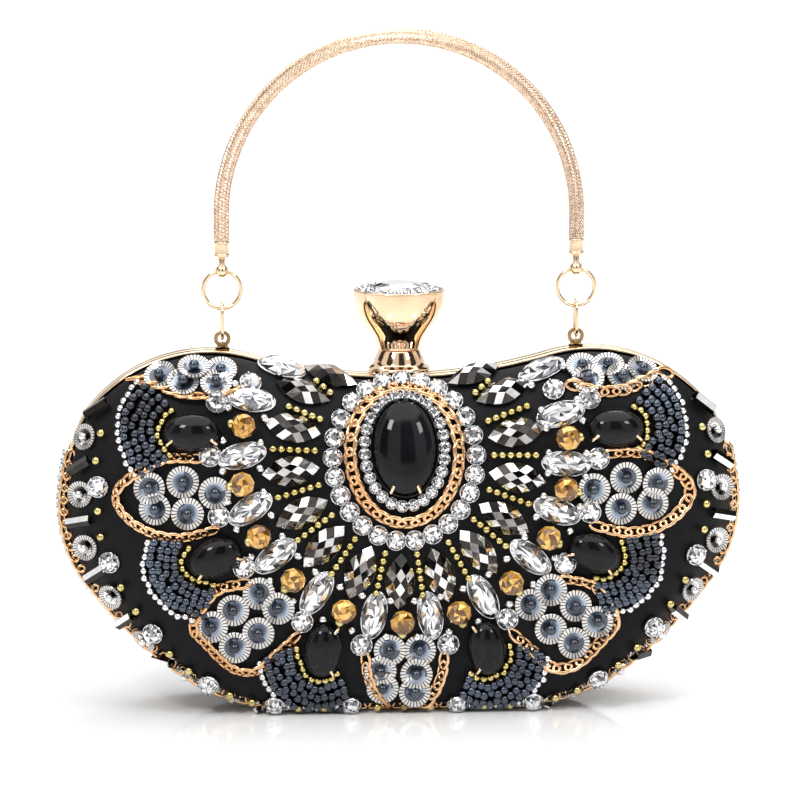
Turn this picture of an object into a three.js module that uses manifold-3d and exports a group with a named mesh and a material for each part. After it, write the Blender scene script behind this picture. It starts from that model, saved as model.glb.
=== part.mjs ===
// Evening bag: a hard clutch case in two halves, hinged along its base, with a knob clasp
// and a stiff handle.
// Millimetres, +Z up. The beaded front faces -Y. The origin is on the table, under the bag's middle.

import * as THREE from "three";
import { mergeVertices } from "three/addons/utils/BufferGeometryUtils.js";
import Module from "manifold-3d";

const wasm = await Module();
wasm.setup();

// ---- Driving dimensions ----

// Case outline, seen from the front
const caseWidth = 209.6;
const caseHeight = 108.8;
const topDip = 8.2; // how far the middle of the top edge lies below the shoulders
const endRadius = 46.8;
const cornerRadius = 80;
const edgeLift = 1.1; // height of the trimmed edge above the table
const arcStep = 11.8; // most degrees between two stations on the ends and lower corners
const dipStep = 4.1; // and on the dip of the top edge

// Clearances
const seatGap = 0.3; // between pieces that are glued, soldered or seated together
const partingGap = 0.3; // between the two rims when the case is shut
const runningGap = 0.3; // between pieces that move past each other
const pinGap = 0.1;

// Rims, covers and linings
const rimDepth = 4.3; // from the parting plane to the outer edge of one rim
const rimWall = 1;
const rimFlange = 4.2;
const coverWall = 1.6;
const coverLip = 0.4; // between a rim's wall and its cover
const liningWall = 0.8;
const liningGap = 0.4; // between a cover and its lining
const gussetWall = 0.8;
const gussetEnd = -80; // degrees round the lower corner at which a gusset ends
const gussetReach = 6; // to each side of the parting plane
const gussetInset = 3; // inside the linings
const pocketWall = 0.8;
const pocketWidth = 76;
const pocketHeight = 46;
const pocketBase = 14;
const pocketDepth = 15; // from the parting plane

// Edge trims
const trimDepth = 2.4; // how far the case line lies inside the outline where the trims run
const trimStart = 20; // degrees above the middle of the end arc
const trimRamp = [40, 10]; // degrees between which the case line steps in for the trims
const crystalTrimWidth = 2.15;
const crystalTrimEdge = 0.1; // of rim left showing beside the crystals
const chainTrimWidth = 2.2;
const chainTrimHeight = 2;
const chainTrimGap = 0.1; // between the chain and the shoulder of the cover

// Hinges
const barrelRadius = 1.5;
const barrelLift = 0.1; // between a barrel and the table
const hingePinRadius = 0.7;
const hingeX = 22;
const knuckleLength = 4.6;
const knuckleBack = 0.2; // from the parting plane to a knuckle's block
const pinHead = 0.8;
const pinHeadRim = 0.5; // how far a pin's head stands out past its shank
const hingeFaceGap = 0.3; // between the two knuckles of a hinge

// Clasp
const footRadius = 9.4;
const footRim = 1.6;
const footStep = 0.8; // how far the foot steps in above its rim
const footStepRise = 1.3;
const ballFillet = 0.9; // how far the foot stands out past the neck, where it meets the ball
const ballFilletDrop = 1.6;
const footSlotSide = 0.5; // room beside the arm in the foot
const ballRadius = 7;
const ballAboveFoot = 3.3; // centre of the ball, which is also the clasp's pivot
const neckRadius = 6.3;
const neckLip = 0.1;
const cupRadius = 13.9;
const cupHeight = 18; // from the neck to the rim of the cup
const cupLip = 0.7;
const cupFlare = [
  [0.02, 0.07],
  [0.17, 0.19],
  [0.43, 0.34],
  [0.67, 0.5],
  [0.83, 0.63],
  [0.95, 0.8],
  [1, 0.94],
  [1, 1],
]; // shares of the way from neck to rim, out and up
const cupSeatDepth = 1;
const cupBallGap = 0.4; // between the ball and the cup that rocks on it
const stoneRadius = 9.1;
const stoneHeight = 2.9;
const stoneChamfer = 0.5;
const stoneEdgeRise = 0.9;
const stoneTableShare = 0.66; // of the stone's radius
const paveHeight = 1.6;
const paveOuterShare = 0.6; // of the ring's height, at its outer edge
const paveInnerShare = 0.8;
const armWidth = 4.4;
const armThickness = 1.2;
const armInCup = 4.7;
const bossRim = 0.3;
const beakReach = 1.1;
const beakHeight = 1.2;
const armSideRoom = 0.8; // beside the arm where it passes the rim and the catch
const claspPinRadius = 0.75;
const claspPinLength = 15;
const claspRock = 8; // degrees
const catchWidth = 12;
const catchThickness = 1.2;
const catchClearance = 0.4; // between the beak's tip and the catch
const catchLip = 1.3;
const springWidth = 3;
const springThickness = 0.3;
const springFoot = 5;
const springBelowBeak = 1.5;

// Handle and the hardware it hangs on
const handleSpan = 107.4; // between the centres of its legs
const handleTop = 203; // height of the handle's centre line
const handleDiameter = 4.8;
const handleSteps = 36; // of its arch
const tabWidth = 4.3;
const tabThickness = 0.8;
const tabY = -1.9;
const tabBelowRim = 3;
const eyeletRadius = 2.5;
const eyeletHole = 1.4;
const eyeletAboveRim = 3.3;
const linkLength = 10.7; // centre line
const linkHalfWidth = 3.2;
const linkWire = 0.5;
const ringRadius = 5.65; // centre line
const ringWire = 0.65;
const ballEndRadius = 2;
const ballEndHole = 1.15;
const ballEndNeck = 1;
const neckAboveHole = 0.2;
const ballEndNeckShows = 2.2; // length of neck between a ball and its ferrule
const ballEndNeckInside = 2.2; // length of neck inside its ferrule
const ferruleLength = 5;
const ferruleRadius = 2.15;

// Stones on the front
const centreStone = { z: 80.7, halfWidth: 9.5, halfHeight: 14.3, height: 4.6 };
const centreTilt = 18; // degrees that the middle stone leans back
const centreRingWidth = 2.7;
const cabochon = { halfLength: 8.15, halfWidth: 5.7, height: 4.2 };
const cabochonPlaces = [
  { name: "upper", x: 63.5, z: 86, tilt: 0 },
  { name: "side", x: 57, z: 49.2, tilt: 25 },
  { name: "lower", x: 24.6, z: 20.6, tilt: 84 },
];
const settingRim = 1.1;
const settingBase = 1;
const settingWallHeight = 0.9; // above the base
const stoneGirdle = 0.5;
const centreRingHeight = 2.2;

// ---- Sizes that follow from them ----

const outlineDipZ = caseHeight - topDip;
const endX = caseWidth / 2 - endRadius;
const endZ = caseHeight - endRadius;
const dipArcZ = (endX ** 2 + endZ ** 2 - (endRadius - outlineDipZ) ** 2) / (2 * topDip);
const dipArcRadius = dipArcZ - outlineDipZ;
const cornerZ = edgeLift + cornerRadius;
const cornerX = endX - Math.sqrt((cornerRadius - endRadius) ** 2 - (cornerZ - endZ) ** 2);
const caseBaseZ = edgeLift + trimDepth;
const rimInner = partingGap / 2;
const coverSeat = rimWall + coverLip;
const coverStart = 2.6; // depth at which the covers begin, which leaves the clasp arm its room
// Depth at which the covers start to swell.
const coverShoulder = rimDepth + seatGap + chainTrimWidth + chainTrimGap;
const liningOffset = coverWall + liningGap;
const hingeZ = barrelLift + barrelRadius;
const footZ = outlineDipZ + 2 * seatGap;
const pivotZ = footZ + ballAboveFoot;
const cupRadiusInside = ballRadius + cupBallGap;
const neckZ = pivotZ + Math.sqrt(cupRadiusInside ** 2 - (neckRadius + neckLip) ** 2);
const cupTopZ = neckZ + cupHeight;
const flangeBottomZ = outlineDipZ - rimFlange;
const armTopZ = pivotZ + cupRadiusInside + armInCup;
const armBottomZ = flangeBottomZ - seatGap - beakHeight;
const armSwing = (pivotZ - armBottomZ) * Math.sin(THREE.MathUtils.degToRad(claspRock));
const armSlot = armThickness / 2 + armSwing + runningGap;
const tabX = handleSpan / 2;
const rimTopAtTab = outlineTopZ(tabX);
const eyeletZ = rimTopAtTab + eyeletAboveRim;
const ringPivotZ = eyeletZ + linkLength - linkWire - ringWire - runningGap;
const ballEndZ = ringPivotZ + 2 * ringRadius;
const ferruleBottomZ = ballEndZ + ballEndRadius + ballEndNeckShows;
const ferruleTopZ = ferruleBottomZ + ferruleLength;
const handleArcZ = handleTop - handleSpan / 2;

// Height of the case's top edge at a distance from its middle, on the dip or on the round end past it.
function outlineTopZ(x) {
  const meetingX = (endX * dipArcRadius) / (dipArcRadius + endRadius);
  if (Math.abs(x) < meetingX) return dipArcZ - Math.sqrt(dipArcRadius ** 2 - x ** 2);
  return endZ + Math.sqrt(endRadius ** 2 - (Math.abs(x) - endX) ** 2);
}

// Cover profile: inset from the case line, depth from the parting plane, and height of its lowest line.
// Past its shoulder the cover swells, and those depths are written as what they add to the shoulder's.
const domeProfile = [
  [coverSeat, coverStart, caseBaseZ + coverSeat],
  [coverSeat, coverShoulder, caseBaseZ + coverSeat],
  [3.2, coverShoulder + 2.9, 0],
  [6, coverShoulder + 6.5, 0],
  [10, coverShoulder + 10.1, 0],
  [15.5, coverShoulder + 13.1, 1.8],
  [22.5, coverShoulder + 15.5, 7],
  [31, coverShoulder + 17.1, 18],
  [38, coverShoulder + 17.7, 30],
];
const dropFade = 50; // height over which the lowered base blends into the sides

// ---- Materials ----

function material(color, roughness, metalness) {
  return new THREE.MeshStandardMaterial({ color, roughness, metalness });
}

const gold = material(0xd9b98a, 0.18, 1);
const darkGold = material(0x9c7038, 0.3, 1);
const satin = material(0x0b0b0d, 0.55, 0);
const liningCloth = material(0x1a1a1f, 0.8, 0);
const blackStone = material(0x050506, 0.06, 0);
const crystal = material(0xe6e8ee, 0.04, 0);
const steel = material(0x8f9094, 0.3, 1);

// ---- Solid helpers ----

function asManifold(geometry) {
  const bare = geometry.index ? geometry.toNonIndexed() : geometry.clone();
  bare.deleteAttribute("normal");
  bare.deleteAttribute("uv");
  const merged = mergeVertices(bare, 1e-4);
  const vertProperties = merged.attributes.position.array;
  const solid = new wasm.Manifold(
    new wasm.Mesh({ numProp: 3, vertProperties, triVerts: new Uint32Array(merged.index.array) }),
  );
  return solid;
}

function asGeometry(solid) {
  const mesh = solid.getMesh();
  const geometry = new THREE.BufferGeometry();
  geometry.setAttribute("position", new THREE.BufferAttribute(new Float32Array(mesh.vertProperties), 3));
  geometry.setIndex(new THREE.BufferAttribute(new Uint32Array(mesh.triVerts), 1));
  return geometry;
}

function cut(geometry, ...tools) {
  const result = tools.reduce((solid, tool) => solid.subtract(asManifold(tool)), asManifold(geometry));
  return asGeometry(result);
}

function join(...geometries) {
  return asGeometry(geometries.map(asManifold).reduce((all, one) => all.add(one)));
}

function box(x0, x1, y0, y1, z0, z1) {
  const geometry = new THREE.BoxGeometry(x1 - x0, y1 - y0, z1 - z0);
  return geometry.translate((x0 + x1) / 2, (y0 + y1) / 2, (z0 + z1) / 2);
}

function rodAlongX(x0, x1, y, z, radius, sides = 16) {
  const geometry = new THREE.CylinderGeometry(radius, radius, x1 - x0, sides);
  return geometry.rotateZ(Math.PI / 2).translate((x0 + x1) / 2, y, z);
}

// A solid turned about the vertical axis from [radius, height] points that start and end on the axis.
function turned(profile, sides = 20) {
  const points = profile.map(([r, z]) => new THREE.Vector2(r, z));
  return new THREE.LatheGeometry(points, sides).rotateX(Math.PI / 2);
}

function signedVolume(positions, indices) {
  let sum = 0;
  const [a, b, c] = [new THREE.Vector3(), new THREE.Vector3(), new THREE.Vector3()];
  for (let i = 0; i < indices.length; i += 3) {
    a.fromArray(positions, indices[i] * 3);
    b.fromArray(positions, indices[i + 1] * 3);
    c.fromArray(positions, indices[i + 2] * 3);
    sum += a.dot(b.cross(c));
  }
  return sum;
}

// A closed solid through rows of points, each row a closed loop. Looped rows join last to first, and
// others are capped.
function lofted(rows, looped) {
  const count = rows[0].length;
  const positions = rows.flat().flatMap((p) => [p.x, p.y, p.z]);
  const indices = [];
  const spans = looped ? rows.length : rows.length - 1;
  for (let r = 0; r < spans; r++) {
    const next = (r + 1) % rows.length;
    for (let c = 0; c < count; c++) {
      const across = (c + 1) % count;
      indices.push(r * count + c, next * count + c, next * count + across);
      indices.push(r * count + c, next * count + across, r * count + across);
    }
  }
  if (!looped) {
    const last = (rows.length - 1) * count;
    for (const [a, b, c] of capTriangles(rows[0])) indices.push(a, b, c);
    for (const [a, b, c] of capTriangles(rows[rows.length - 1])) {
      indices.push(last + a, last + c, last + b);
    }
  }
  if (signedVolume(positions, indices) < 0) {
    for (let i = 0; i < indices.length; i += 3) {
      [indices[i + 1], indices[i + 2]] = [indices[i + 2], indices[i + 1]];
    }
  }
  const geometry = new THREE.BufferGeometry();
  geometry.setAttribute("position", new THREE.Float32BufferAttribute(positions, 3));
  geometry.setIndex(indices);
  return geometry;
}

// Triangles that close a flat loop, wound to match the first row of a loft.
function capTriangles(loop) {
  const normal = new THREE.Vector3();
  loop.forEach((p, i) => normal.add(p.clone().cross(loop[(i + 1) % loop.length])));
  normal.normalize();
  const seed = Math.abs(normal.x) < 0.9 ? new THREE.Vector3(1, 0, 0) : new THREE.Vector3(0, 1, 0);
  const u = seed.cross(normal).normalize();
  const v = normal.clone().cross(u);
  const flat = loop.map((p) => new THREE.Vector2(p.dot(u), p.dot(v)));
  return THREE.ShapeUtils.triangulateShape(flat, []);
}

// ---- Case outline ----

// A station is a point on the outline, the inward direction there, and the share by which the trims step
// the case line in.
function station(x, z, inX, inZ, ramp) {
  return { x, z, inX, inZ, ramp };
}

// Stations along an arc, no more than a step of degrees apart, without its last point.
function arcStations(cx, cz, radius, from, to, step, concave = false) {
  const ramped = THREE.MathUtils.smoothstep;
  const steps = Math.ceil(THREE.MathUtils.radToDeg(Math.abs(to - from)) / step);
  return Array.from({ length: steps }, (_, i) => {
    const angle = from + ((to - from) * i) / steps;
    const [c, s] = [Math.cos(angle), Math.sin(angle)];
    const side = concave ? 1 : -1;
    const degrees = THREE.MathUtils.radToDeg(angle);
    const ramp = concave ? 0 : 1 - ramped(degrees, trimRamp[1], trimRamp[0]);
    return { ...station(cx + radius * c, cz + radius * s, side * c, side * s, ramp), degrees };
  });
}

// Right half of the outline, clockwise from the middle of the top to the middle of the base.
function rightStations() {
  const topTangent = Math.atan2(dipArcZ - endZ, -endX);
  const dipEnd = Math.atan2(endZ - dipArcZ, endX);
  const baseTangent = Math.atan2(endZ - cornerZ, endX - cornerX);
  const top = arcStations(0, dipArcZ, dipArcRadius, -Math.PI / 2, dipEnd, dipStep, true);
  const end = arcStations(endX, endZ, endRadius, topTangent, baseTangent, arcStep);
  const corner = arcStations(cornerX, cornerZ, cornerRadius, baseTangent, -Math.PI / 2, arcStep);
  const base = [1, 0.5, 0].map((share) => ({
    ...station(cornerX * share, edgeLift, 0, 1, 1),
    degrees: -90,
  }));
  return [...top, ...end, ...corner, ...base];
}

function mirrored(s) {
  return { ...s, x: -s.x, inX: -s.inX };
}

const right = rightStations();
const outline = [...right, ...right.slice(1, -1).reverse().map(mirrored)];
const trimmed = right.filter((s) => s.degrees <= trimStart && s.degrees !== undefined && s.ramp > 0);
const trimRun = [...trimmed, ...trimmed.slice(0, -1).reverse().map(mirrored)];

// The point at a station that lies inset inside the case line, at a depth on one side of the parting plane.
function casePoint(s, inset, depth, side) {
  const total = trimDepth * s.ramp + inset;
  return new THREE.Vector3(s.x + total * s.inX, side * depth, s.z + total * s.inZ);
}

// ---- Rims, trims, covers and linings ----

function rim(side) {
  const section = [
    [0, rimInner],
    [0, rimDepth],
    [rimWall, rimDepth],
    [rimWall, rimInner + rimWall],
    [rimFlange, rimInner + rimWall],
    [rimFlange, rimInner],
  ];
  const rows = outline.map((s) => section.map(([inset, depth]) => casePoint(s, inset, depth, side)));
  const y = [-side, side * armSlot].sort((a, b) => a - b);
  const half = armWidth / 2 + armSideRoom;
  const armRoom = box(-half, half, y[0], y[1], outlineDipZ - 2 * rimFlange, outlineDipZ + 2 * rimFlange);
  return cut(lofted(rows, true), armRoom);
}

function frontRim() {
  const half = tabThickness / 2 + seatGap;
  const slots = [-tabX, tabX].map((x) =>
    box(
      x - tabWidth / 2 - seatGap,
      x + tabWidth / 2 + seatGap,
      tabY - half,
      tabY + half,
      rimTopAtTab - rimFlange,
      eyeletZ,
    ),
  );
  return cut(rim(-1), ...slots);
}

// The trims run from one shoulder round the base to the other.
function edgeCrystals(side) {
  const near = rimDepth - crystalTrimEdge - crystalTrimWidth;
  const rows = trimRun.map((s) => {
    const outer = -trimDepth * s.ramp;
    return [
      casePoint(s, outer, near, side),
      casePoint(s, outer, near + crystalTrimWidth, side),
      casePoint(s, -seatGap, near + crystalTrimWidth, side),
      casePoint(s, -seatGap, near, side),
    ];
  });
  return lofted(rows, false);
}

function edgeChain(side) {
  const inner = coverSeat - seatGap;
  const near = rimDepth + seatGap;
  const rows = trimRun.map((s) => [
    casePoint(s, inner - chainTrimHeight, near, side),
    casePoint(s, inner - chainTrimHeight, near + chainTrimWidth, side),
    casePoint(s, inner, near + chainTrimWidth, side),
    casePoint(s, inner, near, side),
  ]);
  return lofted(rows, false);
}

// The dome profile moved inwards by a distance, square to itself.
function offsetProfile(distance) {
  return domeProfile.map(([inset, depth, base], i) => {
    const before = domeProfile[Math.max(i - 1, 0)];
    const after = domeProfile[Math.min(i + 1, domeProfile.length - 1)];
    const [dInset, dDepth] = [after[0] - before[0], after[1] - before[1]];
    const length = Math.hypot(dInset, dDepth);
    const shift = i === 0 ? 0 : (distance * dInset) / length;
    return [inset + (distance * dDepth) / length, depth - shift, base + distance];
  });
}

// One ring of a dome: the outline inset, its lower part brought down to the height of its lowest line.
function domeRing([inset, depth, base], side) {
  const natural = caseBaseZ + inset;
  return outline.map((s) => {
    const p = casePoint(s, inset, depth, side);
    const drop = (natural - base) * (1 - THREE.MathUtils.smoothstep(p.z - natural, 0, dropFade));
    return p.setZ(p.z - drop);
  });
}

// A shell between two offsets of the dome profile, open towards the parting plane.
function domeShell(side, outerOffset, wall) {
  const outer = offsetProfile(outerOffset).map((point) => domeRing(point, side));
  const inner = offsetProfile(outerOffset + wall).map((point) => domeRing(point, side));
  return lofted([...outer.reverse(), ...inner], false);
}

// A strip inside the case on the lower part of one end, which folds out as the case opens.
function gusset(end) {
  const run = right.filter((s) => s.degrees <= trimStart && s.degrees >= gussetEnd && s.ramp > 0);
  const reach = gussetReach;
  const inset = coverSeat + liningOffset + liningWall + gussetInset;
  const rows = run.map((s) => {
    const at = end > 0 ? s : mirrored(s);
    return [
      casePoint(at, inset, reach, 1),
      casePoint(at, inset, reach, -1),
      casePoint(at, inset + gussetWall, reach, -1),
      casePoint(at, inset + gussetWall, reach, 1),
    ];
  });
  return lofted(rows, false);
}

// ---- Hinges ----

// A knuckle with the block that joins it to its rim. The end is -1 or 1 along X, and the side is -1 for
// the front half.
function knuckle(end, side) {
  const middle = end * hingeX;
  const near = middle + (side * hingeFaceGap) / 2;
  const far = near + side * knuckleLength;
  const [x0, x1] = [Math.min(near, far), Math.max(near, far)];
  const reach = rimDepth - crystalTrimEdge - crystalTrimWidth - seatGap;
  const [y0, y1] = side < 0 ? [-reach, -knuckleBack] : [knuckleBack, reach];
  const barrel = rodAlongX(x0, x1, 0, hingeZ, barrelRadius);
  const block = box(x0, x1, y0, y1, hingeZ, caseBaseZ - seatGap);
  const bore = rodAlongX(x0 - 1, x1 + 1, 0, hingeZ, hingePinRadius + pinGap);
  return cut(join(barrel, block), bore);
}

function hingePin(end) {
  const middle = end * hingeX;
  const half = knuckleLength + hingeFaceGap / 2 + runningGap;
  const shankHalf = half + pinHead / 2;
  const headRadius = hingePinRadius + pinHeadRim;
  const shank = rodAlongX(middle - shankHalf, middle + shankHalf, 0, hingeZ, hingePinRadius);
  const heads = [
    rodAlongX(middle - half - pinHead, middle - half, 0, hingeZ, headRadius),
    rodAlongX(middle + half, middle + half + pinHead, 0, hingeZ, headRadius),
  ];
  return join(shank, ...heads);
}

// ---- Clasp ----

// Points of a sphere's profile about the pivot, from one radius out from the axis to another.
function spherePoints(radius, fromR, toR, steps) {
  const [a, b] = [Math.asin(fromR / radius), Math.asin(toR / radius)];
  return Array.from({ length: steps + 1 }, (_, i) => {
    const angle = a + ((b - a) * i) / steps;
    return [radius * Math.sin(angle), pivotZ + radius * Math.cos(angle)];
  });
}

function claspFoot() {
  const ball = spherePoints(ballRadius, neckRadius, 0, 5);
  const profile = [
    [0, footZ],
    [footRadius, footZ],
    [footRadius, footZ + footRim],
    [footRadius - footStep, footZ + footRim + footStepRise],
    [neckRadius + ballFillet, ball[0][1] - ballFilletDrop],
    ...ball,
  ];
  const slotHalf = armWidth / 2 + footSlotSide;
  const slot = box(-slotHalf, slotHalf, -armSlot, armSlot, footZ - 1, pivotZ + ballRadius + 1);
  const boreStart = -claspPinLength / 2 - runningGap;
  const bore = rodAlongX(boreStart, footRadius + 1, 0, pivotZ, claspPinRadius + pinGap);
  return cut(turned(profile), slot, bore);
}

function claspCup() {
  const share = (r, z) => [neckRadius + (cupRadius - neckRadius) * r, neckZ + cupHeight * z];
  const profile = [
    ...spherePoints(cupRadiusInside, 0, neckRadius + neckLip, 5),
    ...cupFlare.map(([r, z]) => share(r, z)),
    [cupRadius - cupLip, cupTopZ],
    [cupRadius - cupLip, cupTopZ - cupSeatDepth],
    [0, cupTopZ - cupSeatDepth],
  ];
  const pocket = box(
    -armWidth / 2 - seatGap,
    armWidth / 2 + seatGap,
    -armThickness / 2 - seatGap,
    armThickness / 2 + seatGap,
    pivotZ,
    armTopZ + seatGap,
  );
  return cut(turned(profile), pocket);
}

function knobPave() {
  const outer = cupRadius - cupLip - seatGap;
  const inner = stoneRadius + seatGap;
  const base = cupTopZ - cupSeatDepth + seatGap;
  const points = [
    [inner, base],
    [outer, base],
    [outer, base + paveHeight * paveOuterShare],
    [(inner + outer) / 2, base + paveHeight],
    [inner, base + paveHeight * paveInnerShare],
    [inner, base],
  ];
  return turned(points, 20);
}

function knobStone() {
  const base = cupTopZ - cupSeatDepth + seatGap;
  return turned(
    [
      [0, base],
      [stoneRadius - stoneChamfer, base],
      [stoneRadius, base + stoneEdgeRise],
      [stoneRadius * stoneTableShare, base + stoneHeight],
      [0, base + stoneHeight],
    ],
    16,
  );
}

function latchArm() {
  const half = armThickness / 2;
  const blade = box(-armWidth / 2, armWidth / 2, -half, half, armBottomZ, armTopZ);
  const beakTopZ = armBottomZ + beakHeight;
  const beak = box(-armWidth / 2, armWidth / 2, 0, half + beakReach, armBottomZ, beakTopZ);
  const bore = rodAlongX(-armWidth, armWidth, 0, pivotZ, claspPinRadius + pinGap);
  const boss = rodAlongX(-armWidth / 2, armWidth / 2, 0, pivotZ, armThickness + bossRim);
  return cut(join(blade, beak, boss), bore);
}

function claspPin() {
  return rodAlongX(-claspPinLength / 2, claspPinLength / 2, 0, pivotZ, claspPinRadius);
}

// A leaf that presses the arm back towards the catch.
function latchSpring() {
  const back = -armThickness / 2 - seatGap;
  const top = flangeBottomZ - seatGap;
  const half = springWidth / 2;
  const leaf = box(-half, half, back - springThickness, back, armBottomZ - springBelowBeak, top);
  const foot = box(-half, half, back - springFoot, back, top - springThickness, top);
  return join(leaf, foot);
}

function catchPlate() {
  const front = rimInner + seatGap;
  const lip = armThickness / 2 + beakReach + catchClearance;
  const top = flangeBottomZ - seatGap;
  const half = armWidth / 2 + armSideRoom;
  const plate = box(-catchWidth / 2, catchWidth / 2, front, lip + catchLip, top - catchThickness, top);
  const notch = box(-half, half, front - 1, lip, top - 2 * catchThickness, top + catchThickness);
  return cut(plate, notch);
}

// ---- Handle hardware ----

function tab(x) {
  const half = tabThickness / 2;
  const bottomZ = rimTopAtTab - tabBelowRim;
  const strip = box(x - tabWidth / 2, x + tabWidth / 2, tabY - half, tabY + half, bottomZ, eyeletZ);
  const eyelet = new THREE.CylinderGeometry(eyeletRadius, eyeletRadius, tabThickness, 24);
  const hole = new THREE.CylinderGeometry(eyeletHole, eyeletHole, 4 * tabThickness, 24);
  eyelet.translate(x, tabY, eyeletZ);
  hole.translate(x, tabY, eyeletZ);
  return cut(join(strip, eyelet), hole);
}

// A closed wire of round section along a flat loop of points, with the loop's outward direction at each.
function wire(loop, radius, normal, sides = 6) {
  const rows = loop.map(({ point, out }) =>
    Array.from({ length: sides }, (_, i) => {
      const angle = (2 * Math.PI * i) / sides;
      return point
        .clone()
        .addScaledVector(out, radius * Math.cos(angle))
        .addScaledVector(normal, radius * Math.sin(angle));
    }),
  );
  return lofted(rows, true);
}

// An oval link that stands in the YZ plane, with its lower end in the eyelet.
function link(x) {
  const low = eyeletZ + linkHalfWidth;
  const high = eyeletZ + linkLength - linkHalfWidth;
  const steps = 8;
  const loop = [];
  for (const [centre, start] of [[high, 0], [low, Math.PI]]) {
    for (let i = 0; i <= steps; i++) {
      const angle = start + (Math.PI * i) / steps;
      const out = new THREE.Vector3(0, Math.cos(angle), Math.sin(angle));
      const point = new THREE.Vector3(x, tabY, centre).addScaledVector(out, linkHalfWidth);
      loop.push({ point, out });
    }
  }
  return wire(loop, linkWire, new THREE.Vector3(1, 0, 0));
}

function ring(x) {
  const geometry = new THREE.TorusGeometry(ringRadius, ringWire, 6, 20);
  return geometry.rotateX(Math.PI / 2).translate(x, tabY, ringPivotZ + ringRadius);
}

function ballEnd(x) {
  const top = ferruleBottomZ + ballEndNeckInside;
  const neckStart = ballEndZ + ballEndHole + neckAboveHole;
  const ball = new THREE.SphereGeometry(ballEndRadius, 12, 8);
  ball.rotateX(Math.PI / 2).translate(x, tabY, ballEndZ);
  const neck = new THREE.CylinderGeometry(ballEndNeck, ballEndNeck, top - neckStart, 12);
  neck.rotateX(Math.PI / 2).translate(x, tabY, (top + neckStart) / 2);
  const bore = rodAlongX(x - 2 * ballEndRadius, x + 2 * ballEndRadius, tabY, ballEndZ, ballEndHole, 12);
  return cut(join(ball, neck), bore);
}

// A cap over the end of the handle, drilled for the neck of its ball end.
function ferrule(x) {
  const boreRadius = ballEndNeck + seatGap;
  const cap = new THREE.CylinderGeometry(ferruleRadius, ferruleRadius, ferruleLength, 20);
  const bore = new THREE.CylinderGeometry(boreRadius, boreRadius, ferruleLength, 12);
  const middle = ferruleBottomZ + ferruleLength / 2;
  cap.rotateX(Math.PI / 2).translate(x, tabY, middle);
  bore.rotateX(Math.PI / 2).translate(x, tabY, middle - ferruleLength / 2);
  return cut(cap, bore);
}

function handleTube() {
  const radius = handleDiameter / 2;
  const half = handleSpan / 2;
  const start = ferruleTopZ + seatGap;
  const sides = 10;
  const arc = Array.from({ length: handleSteps + 1 }, (_, i) => {
    const angle = Math.PI - (Math.PI * i) / handleSteps;
    const out = [Math.cos(angle), Math.sin(angle)];
    return { x: half * out[0], z: handleArcZ + half * out[1], out };
  });
  const stops = [
    { x: -half, z: start, out: [-1, 0] },
    ...arc,
    { x: half, z: start, out: [1, 0] },
  ];
  const rows = stops.map(({ x, z, out }) =>
    Array.from({ length: sides }, (_, i) => {
      const angle = (2 * Math.PI * i) / sides;
      const away = radius * Math.cos(angle);
      return new THREE.Vector3(x + away * out[0], tabY + radius * Math.sin(angle), z + away * out[1]);
    }),
  );
  return lofted(rows, false);
}

// ---- Stones on the front ----

// Draws a turned solid out along X into an oval. Walls outside the stone's edge keep their thickness.
function drawnOut(geometry, halfLength, halfWidth) {
  const position = geometry.attributes.position;
  for (let i = 0; i < position.count; i++) {
    const r = Math.hypot(position.getX(i), position.getY(i));
    const factor = r > halfWidth ? (r + halfLength - halfWidth) / r : halfLength / halfWidth;
    position.setX(i, position.getX(i) * factor);
  }
  return geometry;
}

// An oval cup with a rim, flat at the back, lying in the XY plane with its open side towards +Z.
function ovalSetting(halfLength, halfWidth, extra) {
  const r = halfWidth;
  const profile = [
    [0, 0],
    [r + extra, 0],
    [r + extra, settingBase + settingWallHeight],
    [r + seatGap, settingBase + settingWallHeight],
    [r + seatGap, settingBase],
    [0, settingBase],
  ];
  return drawnOut(turned(profile, 18), halfLength, halfWidth);
}

function ovalStone(halfLength, halfWidth, height) {
  const base = settingBase + seatGap;
  const girdle = base + stoneGirdle;
  const angles = [0, 27, 54, 76].map(THREE.MathUtils.degToRad);
  const dome = angles.map((angle) => [halfWidth * Math.cos(angle), girdle + height * Math.sin(angle)]);
  const profile = [[0, base], [halfWidth, base], ...dome, [0, girdle + height]];
  return drawnOut(turned(profile, 18), halfLength, halfWidth);
}

// A flat oval ring that lies on the base of the middle setting, round its stone.
function ovalRing(inner, outer, height) {
  const sides = 28;
  const rows = Array.from({ length: sides }, (_, i) => {
    const a = (2 * Math.PI * i) / sides;
    const at = (half, z) => new THREE.Vector3(half[0] * Math.cos(a), half[1] * Math.sin(a), z);
    return [at(inner, 0), at(outer, 0), at(outer, height), at(inner, height)];
  });
  return lofted(rows, true);
}

// ---- Assembly ----

function part(name, geometry, finish) {
  const mesh = new THREE.Mesh(geometry, finish);
  mesh.name = name;
  return mesh;
}

// Where a line along Y meets the front cover, as a depth and the way the surface faces there.
function seatOn(cover, x, z) {
  cover.updateMatrixWorld(true);
  const ray = new THREE.Raycaster(new THREE.Vector3(x, -200, z), new THREE.Vector3(0, 1, 0));
  const hit = ray.intersectObject(cover)[0];
  return { point: hit.point, normal: hit.face.normal };
}

// A group that stands on the front cover, its +Z along a leaning direction and its +X turned by a tilt.
function standOn(point, normal, tiltDegrees, ...pieces) {
  const group = new THREE.Group();
  const z = normal.clone().normalize();
  const level = new THREE.Vector3(-z.y, z.x, 0).normalize();
  const x = level.applyAxisAngle(z, THREE.MathUtils.degToRad(tiltDegrees));
  const y = z.clone().cross(x);
  group.quaternion.setFromRotationMatrix(new THREE.Matrix4().makeBasis(x, y, z));
  group.position.copy(point).addScaledVector(z, 2 * seatGap);
  group.add(...pieces);
  return group;
}

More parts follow.
